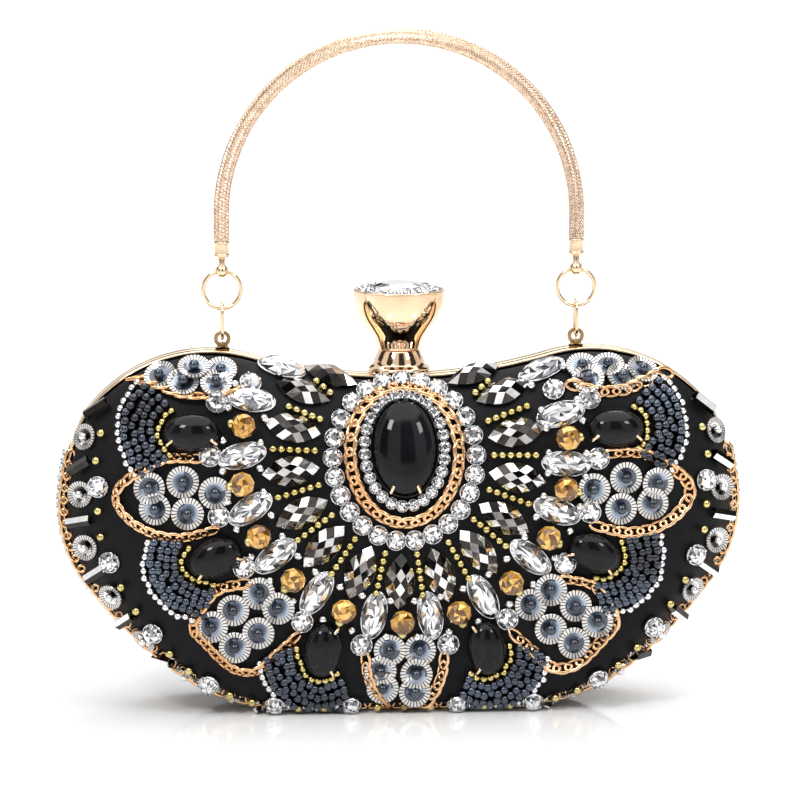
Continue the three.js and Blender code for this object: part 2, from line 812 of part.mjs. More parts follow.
function cabochonGroup(cover, place, end) {
  const sideName = end < 0 ? "left" : "right";
  const { point, normal } = seatOn(cover, end * place.x, place.z);
  const setting = ovalSetting(cabochon.halfLength, cabochon.halfWidth, settingRim);
  const stone = ovalStone(cabochon.halfLength, cabochon.halfWidth, cabochon.height);
  return standOn(
    point,
    normal,
    -end * place.tilt,
    part(`${place.name}_setting_${sideName}`, setting, gold),
    part(`${place.name}_cabochon_${sideName}`, stone, blackStone),
  );
}

function centreGroup(cover) {
  const { point } = seatOn(cover, 0, centreStone.z);
  const lean = THREE.MathUtils.degToRad(centreTilt);
  const normal = new THREE.Vector3(0, -Math.cos(lean), Math.sin(lean));
  const { halfWidth, halfHeight, height } = centreStone;
  const bezel = ovalSetting(halfHeight, halfWidth, settingRim);
  const stone = ovalStone(halfHeight, halfWidth, height);
  const start = settingRim + seatGap;
  const inner = [halfHeight + start, halfWidth + start];
  const outer = inner.map((half) => half + centreRingWidth);
  return standOn(
    point,
    normal,
    90,
    part("centre_setting", bezel, blackStone),
    part("centre_cabochon", stone, blackStone),
    part("centre_crystal_ring", ovalRing(inner, outer, centreRingHeight), crystal),
  );
}

const bag = new THREE.Group();

const frontCover = part("front_cover", domeShell(-1, 0, coverWall), satin);
bag.add(
  part("front_rim", frontRim(), gold),
  frontCover,
  part("front_lining", domeShell(-1, liningOffset, liningWall), liningCloth),
  part("front_edge_crystals", edgeCrystals(-1), crystal),
  part("front_edge_chain", edgeChain(-1), gold),
  part("rear_rim", rim(1), gold),
  part("rear_cover", domeShell(1, 0, coverWall), satin),
  part("rear_lining", domeShell(1, liningOffset, liningWall), liningCloth),
  part("rear_edge_crystals", edgeCrystals(1), crystal),
  part("rear_edge_chain", edgeChain(1), gold),
);

bag.add(
  part(
    "inner_pocket",
    box(
      -pocketWidth / 2,
      pocketWidth / 2,
      pocketDepth,
      pocketDepth + pocketWall,
      pocketBase,
      pocketBase + pocketHeight,
    ),
    liningCloth,
  ),
);

for (const [end, sideName] of [[-1, "left"], [1, "right"]]) {
  bag.add(
    part(`gusset_${sideName}`, gusset(end), liningCloth),
    part(`front_knuckle_${sideName}`, knuckle(end, -1), gold),
    part(`rear_knuckle_${sideName}`, knuckle(end, 1), gold),
    part(`hinge_pin_${sideName}`, hingePin(end), steel),
    part(`handle_tab_${sideName}`, tab(end * tabX), darkGold),
    part(`oval_link_${sideName}`, link(end * tabX), gold),
    part(`round_ring_${sideName}`, ring(end * tabX), gold),
    part(`ball_end_${sideName}`, ballEnd(end * tabX), gold),
    part(`ferrule_${sideName}`, ferrule(end * tabX), gold),
  );
  for (const place of cabochonPlaces) bag.add(cabochonGroup(frontCover, place, end));
}

bag.add(
  part("handle_tube", handleTube(), gold),
  part("clasp_foot", claspFoot(), gold),
  part("clasp_cup", claspCup(), gold),
  part("clasp_pave", knobPave(), crystal),
  part("clasp_stone", knobStone(), crystal),
  part("latch_arm", latchArm(), steel),
  part("latch_pin", claspPin(), steel),
  part("latch_spring", latchSpring(), steel),
  part("catch_plate", catchPlate(), steel),
  centreGroup(frontCover),
);

// Moves the bag so that its box, stones included, is centred on the origin front to back.
const reach = new THREE.Box3().setFromObject(bag);
bag.position.y = -(reach.min.y + reach.max.y) / 2;

export default bag;
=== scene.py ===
"""Evening bag: fine shells, metalwork, stones, beads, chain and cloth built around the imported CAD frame.

Lengths are in millimetres in the frame's own axes until a mesh is made, when they become metres.
"""

import math
import random

import bpy
import numpy as np
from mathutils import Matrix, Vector
from mathutils.bvhtree import BVHTree


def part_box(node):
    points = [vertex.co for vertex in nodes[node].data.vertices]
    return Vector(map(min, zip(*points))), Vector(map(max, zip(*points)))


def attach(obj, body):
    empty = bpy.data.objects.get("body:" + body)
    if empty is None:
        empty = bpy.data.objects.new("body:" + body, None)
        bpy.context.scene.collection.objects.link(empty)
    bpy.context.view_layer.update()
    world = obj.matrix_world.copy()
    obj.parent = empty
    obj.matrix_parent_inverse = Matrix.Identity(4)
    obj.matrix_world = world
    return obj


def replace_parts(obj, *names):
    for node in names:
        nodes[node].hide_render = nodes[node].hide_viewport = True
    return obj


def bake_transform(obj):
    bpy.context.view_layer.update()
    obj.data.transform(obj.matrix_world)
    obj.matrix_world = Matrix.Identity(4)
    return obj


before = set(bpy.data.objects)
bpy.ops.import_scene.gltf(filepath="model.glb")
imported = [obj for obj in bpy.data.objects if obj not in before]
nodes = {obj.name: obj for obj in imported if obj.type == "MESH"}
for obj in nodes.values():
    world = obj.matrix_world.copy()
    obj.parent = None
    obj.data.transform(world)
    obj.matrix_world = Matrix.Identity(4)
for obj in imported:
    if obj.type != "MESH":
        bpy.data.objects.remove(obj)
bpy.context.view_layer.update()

MM = 0.001
random.seed(7)


# ---- Sizes from the frame ----

def corners(node):
    """Lowest and highest corner of a CAD node, in millimetres."""
    return [np.array(corner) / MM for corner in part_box(node)]


def middle(node):
    low, high = corners(node)
    return (low + high) / 2


PARTING = (corners("front_rim")[1][1] + corners("rear_rim")[0][1]) / 2
CASE_WIDTH = 2 * corners("front_edge_crystals")[1][0]
CASE_HEIGHT = corners("front_rim")[1][2]
TAB_Y = middle("handle_tab_right")[1]

# ---- Case shape ----

TOP_DIP = 8.2  # how far the middle of the top lies below the shoulders
END_RADIUS = 46.8
CORNER_RADIUS = 80  # of the arcs that join the ends to the base
EDGE_LIFT = 1.1
TRIM_DEPTH = 2.4  # how far the case line lies inside the outline where the trims run
TRIM_FADE = (10, 40)  # degrees over which it steps out again towards the shoulders
TRIM_START = 20  # degrees above the middle of the end where the trims begin
COVER_WALL = 1.6
LINING_OFFSET = 2.0
LINING_WALL = 0.8
DROP_FADE = 50  # height over which a cover comes down to its lowest line
CROWN = {-1: 0.3, 1: 1.2}  # how much the middle of the front and rear covers swells
CROWN_SHARES = (0.82, 0.64, 0.46, 0.28, 0.1)  # sizes of the rings inside the last one of the profile
DEGREES = 5  # column of the outline that holds degrees above the middle of the end, or 999 along the dip

# The padded rear cover: inset from the case line, depth from the parting plane, height of the lowest line.
REAR_PROFILE = [
    (1.4, 2.6, 4.9), (1.4, 6.9, 4.9), (3.2, 9.8, 0.1), (6, 13.4, 0), (10, 17, 0),
    (15.5, 20, 1.8), (22.5, 22.4, 7), (31, 24, 18), (38, 24.6, 30),
]
BEAD_ROOM = 2.7  # the front cover's underside stands this far off the table, on its beads
FRONT_PROFILE = [(i, d, max(z, BEAD_ROOM) if i > 2 else z) for i, d, z in REAR_PROFILE]

END_X = CASE_WIDTH / 2 - END_RADIUS
END_Z = CASE_HEIGHT - END_RADIUS
DIP_Z = CASE_HEIGHT - TOP_DIP
DIP_ARC_Z = (END_X**2 + END_Z**2 - (END_RADIUS - DIP_Z) ** 2) / (2 * TOP_DIP)
DIP_ARC_RADIUS = DIP_ARC_Z - DIP_Z
CORNER_Z = EDGE_LIFT + CORNER_RADIUS
CORNER_X = END_X - math.sqrt((CORNER_RADIUS - END_RADIUS) ** 2 - (CORNER_Z - END_Z) ** 2)
CASE_BASE_Z = EDGE_LIFT + TRIM_DEPTH


def smooth(value, low, high):
    t = np.clip((value - low) / (high - low), 0, 1)
    return t * t * (3 - 2 * t)


def arc(cx, cz, radius, start, end, steps, concave=False):
    """Rows of x, z, inward x, inward z, trim step and degrees along an arc, without its last point."""
    angle = start + (end - start) * np.arange(steps) / steps
    c, s = np.cos(angle), np.sin(angle)
    side = 1 if concave else -1
    degrees = np.degrees(angle)
    ramp = np.zeros(steps) if concave else 1 - smooth(degrees, *TRIM_FADE)
    degrees = np.full(steps, 999.0) if concave else degrees
    return np.column_stack([cx + radius * c, cz + radius * s, side * c, side * s, ramp, degrees])


def case_outline():
    """The closed outline, clockwise from the middle of the top."""
    top_tangent = math.atan2(DIP_ARC_Z - END_Z, -END_X)
    dip_end = math.atan2(END_Z - DIP_ARC_Z, END_X)
    base_tangent = math.atan2(END_Z - CORNER_Z, END_X - CORNER_X)
    base = [[CORNER_X * share, EDGE_LIFT, 0, 1, 1, -90] for share in np.linspace(1, 0, 9)]
    right = np.vstack([
        arc(0, DIP_ARC_Z, DIP_ARC_RADIUS, -math.pi / 2, dip_end, 16, concave=True),
        arc(END_X, END_Z, END_RADIUS, top_tangent, base_tangent, 44),
        arc(CORNER_X, CORNER_Z, CORNER_RADIUS, base_tangent, -math.pi / 2, 24),
        base,
    ])
    left = right[1:-1][::-1] * [-1, 1, -1, 1, 1, 1]
    return np.vstack([right, left])


OUTLINE = case_outline()


def case_ring(inset, depth, side, stations=OUTLINE):
    """Points that lie inset inside the case line, at a depth from the parting plane on one side."""
    total = TRIM_DEPTH * stations[:, 4] + inset
    x = stations[:, 0] + total * stations[:, 2]
    z = stations[:, 1] + total * stations[:, 3]
    return np.column_stack([x, np.full(len(x), PARTING + side * depth), z])


def dome_ring(point, side, stations=OUTLINE):
    """A ring of a cover, with its lower part brought down to the height of its lowest line."""
    inset, depth, base = point
    ring = case_ring(inset, depth, side, stations)
    natural = CASE_BASE_Z + inset
    ring[:, 2] -= (natural - base) * (1 - smooth(ring[:, 2] - natural, 0, DROP_FADE))
    return ring


def profile_at(profile, u):
    """The cover's profile at a place between its points, on a smooth curve through them past its skirt."""
    i = min(int(u), len(profile) - 2)
    t = u - i
    p = [np.array(profile[min(max(k, 1), len(profile) - 1)]) for k in (i - 1, i, i + 1, i + 2)]
    if i == 0:
        return np.array(profile[0]) * (1 - t) + np.array(profile[1]) * t
    m1, m2 = (p[2] - p[0]) / 2, (p[3] - p[1]) / 2
    h = [2 * t**3 - 3 * t**2 + 1, t**3 - 2 * t**2 + t, -2 * t**3 + 3 * t**2, t**3 - t**2]
    return h[0] * p[1] + h[1] * m1 + h[2] * p[2] + h[3] * m2


def dome_rings(profile, side, offset, per_span):
    """Rings from the open edge of a cover to its middle, moved inwards by an offset square to the profile."""
    stops = np.arange(0, (len(profile) - 1) * per_span + 1) / per_span
    points = np.array([profile_at(profile, u) for u in stops])
    slope = np.gradient(points[:, :2], axis=0)
    slope /= np.linalg.norm(slope, axis=1)[:, None]
    shift = np.where(np.arange(len(points)) == 0, 0, offset * slope[:, 0])
    inset = points[:, 0] + offset * slope[:, 1]
    moved = np.column_stack([inset, points[:, 1] - shift, points[:, 2] + offset])
    rings = [dome_ring(point, side) for point in moved]
    last = rings[-1]
    hub = np.array([0, last[0, 1], (last[:, 2].min() + last[:, 2].max()) / 2])
    for share in CROWN_SHARES:
        ring = hub + (last - hub) * share
        ring[:, 1] += side * CROWN[side] * (1 - share**2)
        rings.append(ring)
    return rings


def unit(vector):
    return vector / np.linalg.norm(vector)


def framed(way, out):
    """A turn whose +Z is the way out and whose +X lies as near to another way as it can."""
    out = unit(out)
    along = unit(way - out * np.dot(way, out))
    return np.column_stack([along, np.cross(out, along), out])


def half_of(side):
    """What the names of pieces call a half of the case, and the half's body."""
    return ("front", "front_half") if side < 0 else ("rear", "rear_half")


# ---- Meshes ----

def make_piece(name, verts, faces, body, material, smoothed=True, shades=None):
    """A mesh piece from millimetre points that wears a material, and rides on a body unless that is None."""
    mesh = bpy.data.meshes.new(name)
    mesh.from_pydata((np.asarray(verts) * MM).tolist(), [], faces)
    mesh.validate()
    if smoothed:
        mesh.shade_smooth()
    if shades is not None:
        layer = mesh.attributes.new("shade", "FLOAT", "FACE")
        layer.data.foreach_set("value", np.asarray(shades, dtype=np.float32))
    mesh.materials.append(material)
    piece = bpy.data.objects.new(name, mesh)
    bpy.context.scene.collection.objects.link(piece)
    if body:
        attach(piece, body)
    return piece


def loft(rows, looped=False, hub_caps=False):
    """Points and faces of a closed solid through rows that are each a closed loop."""
    rows = [np.asarray(row) for row in rows]
    count = len(rows[0])
    verts = np.vstack(rows)
    faces = []
    spans = len(rows) if looped else len(rows) - 1
    for r in range(spans):
        a, b = r * count, ((r + 1) % len(rows)) * count
        for c in range(count):
            d = (c + 1) % count
            faces.append((a + c, b + c, b + d, a + d))
    if not looped:
        last = (len(rows) - 1) * count
        if hub_caps:
            verts = np.vstack([verts, rows[0].mean(axis=0), rows[-1].mean(axis=0)])
            hubs = (len(verts) - 2, len(verts) - 1)
            faces += [(hubs[0], c, (c + 1) % count) for c in range(count)]
            faces += [(hubs[1], last + (c + 1) % count, last + c) for c in range(count)]
        else:
            faces.append(tuple(range(count)))
            faces.append(tuple(last + c for c in reversed(range(count))))
    return facing_out(verts, faces)


def facing_out(verts, faces):
    """Turns every face over if the solid they bound is inside out."""
    volume = 0.0
    for face in faces:
        a = verts[face[0]]
        for b, c in zip(face[1:-1], face[2:]):
            volume += float(np.dot(a, np.cross(verts[b], verts[c])))
    if volume < 0:
        faces = [tuple(reversed(face)) for face in faces]
    return verts, faces


AXIS = 0.01  # radius that stands for the axis, so that the caps have an edge


def turned(profile, sides=48, looped=False):
    """A solid turned about the Z axis from radius and height points, closed at both ends or a ring."""
    angle = 2 * math.pi * np.arange(sides) / sides
    rows = [np.column_stack([r * np.cos(angle), r * np.sin(angle), np.full(sides, z)]) for r, z in profile]
    return loft(rows, looped=looped)


def rounded(profile, radius, steps=3):
    """A profile with its corners rounded, its ends left where they are."""
    points = [np.array(p, dtype=float) for p in profile]
    out = [points[0]]
    for before, corner, after in zip(points, points[1:], points[2:]):
        reach_in, reach_out = np.linalg.norm(corner - before), np.linalg.norm(after - corner)
        cut = min(radius, reach_in * 0.45, reach_out * 0.45)
        a = corner + (before - corner) / reach_in * cut
        b = corner + (after - corner) / reach_out * cut
        for t in np.linspace(0, 1, steps + 1):
            out.append((1 - t) ** 2 * a + 2 * t * (1 - t) * corner + t**2 * b)
    out.append(points[-1])
    return out


def tube(points, radius, sides=10, looped=False, normal=(0, 1, 0)):
    """A round tube along a route that lies in the plane square to a normal."""
    points = np.asarray(points, dtype=float)
    normal = np.array(normal, dtype=float)
    if looped:
        tangent = np.roll(points, -1, axis=0) - np.roll(points, 1, axis=0)
    else:
        tangent = np.gradient(points, axis=0)
    tangent /= np.linalg.norm(tangent, axis=1)[:, None]
    out = np.cross(tangent, normal)
    angle = 2 * math.pi * np.arange(sides) / sides
    rows = [
        p + radius * (np.outer(np.cos(angle), o) + np.outer(np.sin(angle), normal))
        for p, o in zip(points, out)
    ]
    return loft(rows, looped=looped)


TABLE_GAP = 0.1
TABLE_LIFT = 0.5  # the most that a stone under the bag is raised before its underside is flattened


class Pile:
    """Many small solids in one piece, each kept above the table, and each face with its own shade."""

    def __init__(self, name, material, body="front_half"):
        self.name, self.material, self.body = name, material, body
        self.verts, self.faces, self.shades, self.count = [], [], [], 0

    def add(self, mould, place, tone=1.0):
        verts, faces, shades = mould
        turn, point = place
        placed = verts @ turn.T + point
        placed[:, 2] += np.clip(TABLE_GAP - placed[:, 2].min(), 0.0, TABLE_LIFT)
        placed[:, 2] = np.maximum(placed[:, 2], TABLE_GAP)
        self.verts.append(placed)
        self.faces += [tuple(i + self.count for i in face) for face in faces]
        self.shades += [shade * tone for shade in shades]
        self.count += len(verts)

    def make(self):
        smoothed = self.material.name not in CUT
        return make_piece(
            self.name, np.vstack(self.verts), self.faces, self.body, self.material, smoothed, self.shades
        )


def mould(solid, shade=1.0):
    verts, faces = solid
    return verts, faces, [shade] * len(faces)


def merged(*moulds):
    """Several moulds as one."""
    verts, faces, shades, count = [], [], [], 0
    for v, f, s in moulds:
        verts.append(v)
        faces += [tuple(i + count for i in face) for face in f]
        shades += list(s)
        count += len(v)
    return np.vstack(verts), faces, shades


def shifted(a_mould, offset, turn=None):
    verts, faces, shades = a_mould
    turn = np.eye(3) if turn is None else turn
    return verts @ turn.T + np.array(offset, dtype=float), faces, shades


def turn_about(axis, degrees):
    """Rotation matrix about a coordinate axis, 0 to 2."""
    c, s = math.cos(math.radians(degrees)), math.sin(math.radians(degrees))
    a, b = [(1, 2), (2, 0), (0, 1)][axis]
    turn = np.eye(3)
    turn[a, a], turn[a, b], turn[b, a], turn[b, b] = c, -s, s, c
    return turn


# ---- Materials ----

def new_material(name, color, roughness, metallic=0.0, **sockets):
    material = bpy.data.materials.new(name)
    material.use_nodes = True
    shader = material.node_tree.nodes["Principled BSDF"]
    shader.inputs["Base Color"].default_value = (*color, 1)
    shader.inputs["Roughness"].default_value = roughness
    shader.inputs["Metallic"].default_value = metallic
    for socket, value in sockets.items():
        shader.inputs[socket.replace("_", " ")].default_value = value
    return material


def add_node(material, kind, **settings):
    node = material.node_tree.nodes.new(kind)
    for key, value in settings.items():
        if hasattr(node, key):
            setattr(node, key, value)
        else:
            node.inputs[key.replace("_", " ")].default_value = value
    return node


def wire_up(material, source, output, target, socket):
    material.node_tree.links.new(source.outputs[output], target.inputs[socket])


def object_noise(material, scale, detail=4.0, stretch=(1, 1, 1)):
    """Noise in the object's own coordinates, which are metres."""
    coordinates = add_node(material, "ShaderNodeTexCoord")
    mapping = add_node(material, "ShaderNodeMapping")
    mapping.inputs["Scale"].default_value = stretch
    noise = add_node(material, "ShaderNodeTexNoise", Scale=scale, Detail=detail)
    wire_up(material, coordinates, "Object", mapping, "Vector")
    wire_up(material, mapping, "Vector", noise, "Vector")
    return noise


def color_ramp(material, source, output, stops):
    ramp = add_node(material, "ShaderNodeValToRGB")
    points = ramp.color_ramp.elements
    while len(points) < len(stops):
        points.new(0.5)
    for element, (position, color) in zip(points, stops):
        element.position = position
        element.color = (*color, 1)
    wire_up(material, source, output, ramp, "Fac")
    return ramp


def ranged(tree, value, start, end, low=0.0, high=1.0):
    """Maps a node's output from the span between a start and an end to the one between low and high."""
    reach = tree.nodes.new("ShaderNodeMapRange")
    for name, number in (("From Min", start), ("From Max", end), ("To Min", low), ("To Max", high)):
        reach.inputs[name].default_value = number
    tree.links.new(value, reach.inputs["Value"])
    return reach.outputs["Result"]


NOISE_SPAN = (0.3, 0.7)  # where nearly all of a noise's values lie


def spread(material, noise, low, high, socket):
    """Sends a noise to one of the shader's sockets between two values."""
    tree = material.node_tree
    reach = ranged(tree, noise.outputs["Fac"], *NOISE_SPAN, low, high)
    tree.links.new(reach, tree.nodes["Principled BSDF"].inputs[socket])


def roughen(material, source, output, strength, distance):
    """Bump from a height, with its distance in metres."""
    shader = material.node_tree.nodes["Principled BSDF"]
    bump = add_node(material, "ShaderNodeBump", Strength=strength, Distance=distance)
    wire_up(material, source, output, bump, "Height")
    wire_up(material, bump, "Normal", shader, "Normal")
    return bump


def paint(material, ramp):
    wire_up(material, ramp, "Color", material.node_tree.nodes["Principled BSDF"], "Base Color")


def metal(name, light, dark, roughness, fine=900.0, bump=0.02):
    """A polished metal whose tone and gloss vary a little, with faint rubbing."""
    material = new_material(name, light, roughness, 1.0)
    paint(material, color_ramp(material, object_noise(material, 60.0), "Fac", [(0.35, dark), (0.62, light)]))
    rubbed = object_noise(material, fine, 6.0)
    spread(material, rubbed, roughness * 0.7, roughness * 1.5, "Roughness")
    roughen(material, rubbed, "Fac", bump, 0.0002)
    return material


CLOUD_WEIGHT = 0.25  # how far a slow noise shifts the shade of a stone's facets
CLOUD_MEAN = 0.48


def stone(name, stops, roughness, metallic, **sockets):
    """Faceted glass: each facet's own shade stands for the light that its cut returns."""
    material = new_material(name, stops[-1][1], roughness, metallic, **sockets)
    shade = add_node(material, "ShaderNodeAttribute", attribute_name="shade")
    mix = add_node(material, "ShaderNodeMath", operation="ADD")
    clouds = object_noise(material, 500.0, 2.0)
    weigh = add_node(material, "ShaderNodeMath", operation="MULTIPLY_ADD")
    weigh.inputs[1].default_value = CLOUD_WEIGHT
    weigh.inputs[2].default_value = -CLOUD_WEIGHT * CLOUD_MEAN
    wire_up(material, clouds, "Fac", weigh, 0)
    wire_up(material, shade, "Fac", mix, 0)
    wire_up(material, weigh, "Value", mix, 1)
    paint(material, color_ramp(material, mix, "Value", stops))
    spread(material, object_noise(material, 1500.0), roughness * 0.6, roughness * 1.6, "Roughness")
    return material


def glossy_black(name, color, tint):
    material = new_material(name, color, 0.05, 0.0, Specular_IOR_Level=0.22)
    paint(material, color_ramp(material, object_noise(material, 80.0), "Fac", [(0.4, color), (0.7, tint)]))
    spread(material, object_noise(material, 400.0), 0.03, 0.09, "Roughness")
    return material


def cloth(name, dark, light, scale, roughness, sheen, bump):
    """Woven cloth: two crossed sets of fine threads, with a slow change of tone over them."""
    material = new_material(name, dark, roughness, 0.0, Sheen_Weight=sheen, Sheen_Roughness=0.35,
                            Specular_IOR_Level=0.1)
    coordinates = add_node(material, "ShaderNodeTexCoord")
    threads = []
    for direction in ("X", "Z"):
        wave = add_node(material, "ShaderNodeTexWave", Scale=scale, Distortion=0.6, Detail=2.0)
        wave.bands_direction = direction
        wire_up(material, coordinates, "Object", wave, "Vector")
        threads.append(wave)
    weave = add_node(material, "ShaderNodeMath", operation="MAXIMUM")
    for i, wave in enumerate(threads):
        wire_up(material, wave, "Fac", weave, i)
    slow = object_noise(material, 45.0, 5.0)
    blend = add_node(material, "ShaderNodeMath", operation="MULTIPLY")
    wire_up(material, weave, "Value", blend, 0)
    wire_up(material, slow, "Fac", blend, 1)
    paint(material, color_ramp(material, blend, "Value", [(0.15, dark), (0.6, light)]))
    spread(material, slow, roughness * 0.85, roughness * 1.2, "Roughness")
    roughen(material, weave, "Value", bump, 0.0001)
    return material


PALE_GOLD = metal("pale_gold", (0.87, 0.68, 0.47), (0.76, 0.56, 0.35), 0.12)
ROSE_GOLD = metal("rose_gold_chain", (0.86, 0.55, 0.31), (0.68, 0.38, 0.18), 0.14)
KNOB_GOLD = metal("knob_gold", (0.88, 0.67, 0.47), (0.78, 0.53, 0.33), 0.07)
ANTIQUE_GOLD = metal("antique_gold", (0.48, 0.32, 0.15), (0.3, 0.19, 0.08), 0.26, bump=0.06)
BEAD_GOLD = metal("bead_gold", (0.66, 0.55, 0.24), (0.5, 0.4, 0.14), 0.16)
SILVER = metal("silver", (0.86, 0.86, 0.87), (0.7, 0.7, 0.72), 0.16)
STEEL = metal("steel", (0.55, 0.56, 0.58), (0.42, 0.43, 0.45), 0.28, bump=0.05)
BLACK_STONE = glossy_black("black_stone", (0.004, 0.004, 0.005), (0.008, 0.008, 0.01))
SEED_GLASS = metal("seed_glass", (0.06, 0.078, 0.115), (0.008, 0.01, 0.018), 0.12)
SEED_GLASS.node_tree.nodes["Principled BSDF"].inputs["Coat Weight"].default_value = 1.0
SATIN = cloth("black_satin", (0.003, 0.003, 0.004), (0.012, 0.012, 0.014), 900.0, 0.42, 0.0, 0.25)
LINING = cloth("lining_cloth", (0.013, 0.013, 0.016), (0.02, 0.02, 0.025), 500.0, 0.8, 0.0, 0.12)
CRYSTAL = stone(
    "crystal",
    [(0.0, (0.015, 0.015, 0.02)), (0.3, (0.2, 0.2, 0.22)), (0.55, (0.62, 0.63, 0.66)),
     (1.0, (1.0, 0.99, 0.97))],
    0.08, 0.75, Coat_Weight=1.0, Coat_Roughness=0.02, IOR=1.7,
)
HEMATITE = stone(
    "hematite",
    [(0.0, (0.003, 0.003, 0.004)), (0.4, (0.07, 0.06, 0.055)), (0.7, (0.5, 0.48, 0.46)),
     (1.0, (0.96, 0.95, 0.94))],
    0.05, 0.95,
)
AMBER = stone(
    "amber",
    [(0.0, (0.03, 0.012, 0.003)), (0.45, (0.2, 0.08, 0.008)), (0.8, (0.6, 0.28, 0.03)),
     (1.0, (0.9, 0.56, 0.14))],
    0.08, 0.35, Coat_Weight=1.0, Coat_Roughness=0.03,
)
SEQUIN = stone(
    "sequin_rim",
    [(0.0, (0.012, 0.012, 0.012)), (0.4, (0.16, 0.155, 0.15)), (1.0, (0.74, 0.71, 0.68))],
    0.18, 0.6,
)
SEQUIN_GLASS = stone(
    "sequin_glass",
    [(0.0, (0.008, 0.01, 0.016)), (0.5, (0.06, 0.08, 0.12)), (1.0, (0.42, 0.5, 0.62))],
    0.06, 0.5, Coat_Weight=1.0, Coat_Roughness=0.02,
)
MESH_GOLD = stone(
    "mesh_gold",
    [(0.0, (0.06, 0.03, 0.015)), (0.5, (0.56, 0.38, 0.26)), (1.0, (0.92, 0.74, 0.58))],
    0.22, 1.0,
)

# The materials that are cut in flat facets.
CUT = {material.name for material in (CRYSTAL, HEMATITE, AMBER, SEQUIN, SEQUIN_GLASS, MESH_GOLD)}


# ---- Places on the covers ----

def surface_of(rings):
    """A search tree over a stack of rings, for lines that come from the front."""
    verts = np.vstack(rings)
    count = len(rings[0])
    faces = [
        (r * count + c, (r + 1) * count + c, (r + 1) * count + (c + 1) % count, r * count + (c + 1) % count)
        for r in range(len(rings) - 1)
        for c in range(count)
    ]
    last = (len(rings) - 1) * count
    faces.append(tuple(last + c for c in range(count)))
    return BVHTree.FromPolygons([Vector(v) for v in verts], faces)


FRONT_FACE = surface_of(dome_rings(FRONT_PROFILE, -1, 0, 6))
LINE_START = -200.0


SPRAY = (0.0, 78.6)  # middle of the spray of stones on the front
STEP_IN = 0.01


def seat(x, z, spin=0.0, lift=0.0):
    """A place on the front cover in line with x and z, or with the first point that meets it on the way to
    the middle of the spray. Its +Z faces out, and its +X turns by spin from level."""
    hit = None
    while hit is None:
        hit, normal, _, _ = FRONT_FACE.ray_cast(Vector((x, LINE_START, z)), Vector((0, 1, 0)))
        x, z = x + (SPRAY[0] - x) * STEP_IN, z + (SPRAY[1] - z) * STEP_IN
    return stand(np.array(hit), np.array(normal), spin, lift)


BACKWARD = 0.2  # a normal that points back by more than this is turned over
PROFILE_STEP = 0.2  # along the profile, between two points that show a cover's slope


def stand(point, normal, spin=0.0, lift=0.0):
    """A turn and a point for a piece that stands on a surface."""
    if normal[1] > BACKWARD:
        normal = -normal
    way = np.array([math.cos(math.radians(spin)), 0, math.sin(math.radians(spin))])
    turn = framed(way, normal)
    return turn, point + turn[:, 2] * lift


def edge_place(station, u):
    """A place on the front cover at a station of the outline and a place along its profile."""
    low = int(station) % len(OUTLINE)
    rows = OUTLINE[[low, (low + 1) % len(OUTLINE)]]
    here = dome_ring(profile_at(FRONT_PROFILE, u), -1, rows)
    further = dome_ring(profile_at(FRONT_PROFILE, u + PROFILE_STEP), -1, rows)
    share = station - int(station)
    along = here[1] - here[0]
    out = np.cross(along, further[0] - here[0])
    if out[1] > 0:
        out = -out
    return framed(along, out), here[0] * (1 - share) + here[1] * share


def spaced(points, pitch, closed=False):
    """Stops along a route at an even pitch, as fractional indices into its points."""
    points = np.asarray(points, dtype=float)
    if closed:
        points = np.vstack([points, points[:1]])
    length = np.concatenate([[0], np.cumsum(np.linalg.norm(np.diff(points, axis=0), axis=1))])
    count = max(2, round(length[-1] / pitch) + (0 if closed else 1))
    stops = np.linspace(0, length[-1], count, endpoint=not closed)
    return np.interp(stops, length, np.arange(len(points)))


def on_route(route, stop, closed=False):
    """The point at a stop along a flat route, and the degrees from level of the way on."""
    low = int(stop) if closed else min(int(stop), len(route) - 2)
    way = route[(low + 1) % len(route)] - route[low]
    return route[low] + way * (stop - low), math.degrees(math.atan2(way[1], way[0]))


def eased(points, per_span=8):
    """A smooth curve through given points."""
    p = np.vstack([points[:1], points, points[-1:]]).astype(float)
    out = []
    for i in range(1, len(p) - 2):
        for t in np.arange(per_span) / per_span:
            out.append(0.5 * (
                2 * p[i] + (p[i + 1] - p[i - 1]) * t
                + (2 * p[i - 1] - 5 * p[i] + 4 * p[i + 1] - p[i + 2]) * t**2
                + (3 * p[i] - p[i - 1] - 3 * p[i + 1] + p[i + 2]) * t**3
            ))
    out.append(p[-2])
    return np.array(out)


# ---- Moulds ----

def painted_facet_reflections(count, low, high, bright=0.55):
    """Painted reflections for facets: most of them bright, the rest dark, as a cut stone returns the light."""
    return [
        random.uniform(high * 0.75, high) if random.random() < bright else random.uniform(low, high * 0.55)
        for _ in range(count)
    ]


def faceted(rings, top, bottom_z, bright=0.55, low=0.0, high=1.0):
    """A cut stone from rings of points, each turned half a facet from the last, closed above and below, with a
    painted reflection on each facet.
    """
    verts = np.vstack([*rings, [top], [[0, 0, bottom_z]]])
    count = len(rings[0])
    faces = []
    for r in range(len(rings) - 1):
        a, b = r * count, (r + 1) * count
        for c in range(count):
            d = (c + 1) % count
            if r % 2:
                faces += [(a + c, a + d, b + d), (a + c, b + d, b + c)]
            else:
                faces += [(a + c, a + d, b + c), (a + d, b + d, b + c)]
    last = (len(rings) - 1) * count
    hub, under = len(verts) - 2, len(verts) - 1
    faces += [(hub, last + c, last + (c + 1) % count) for c in range(count)]
    faces += [(under, (c + 1) % count, c) for c in range(count)]
    verts, faces = facing_out(verts, faces)
    return verts, faces, painted_facet_reflections(len(faces), low, high, bright)


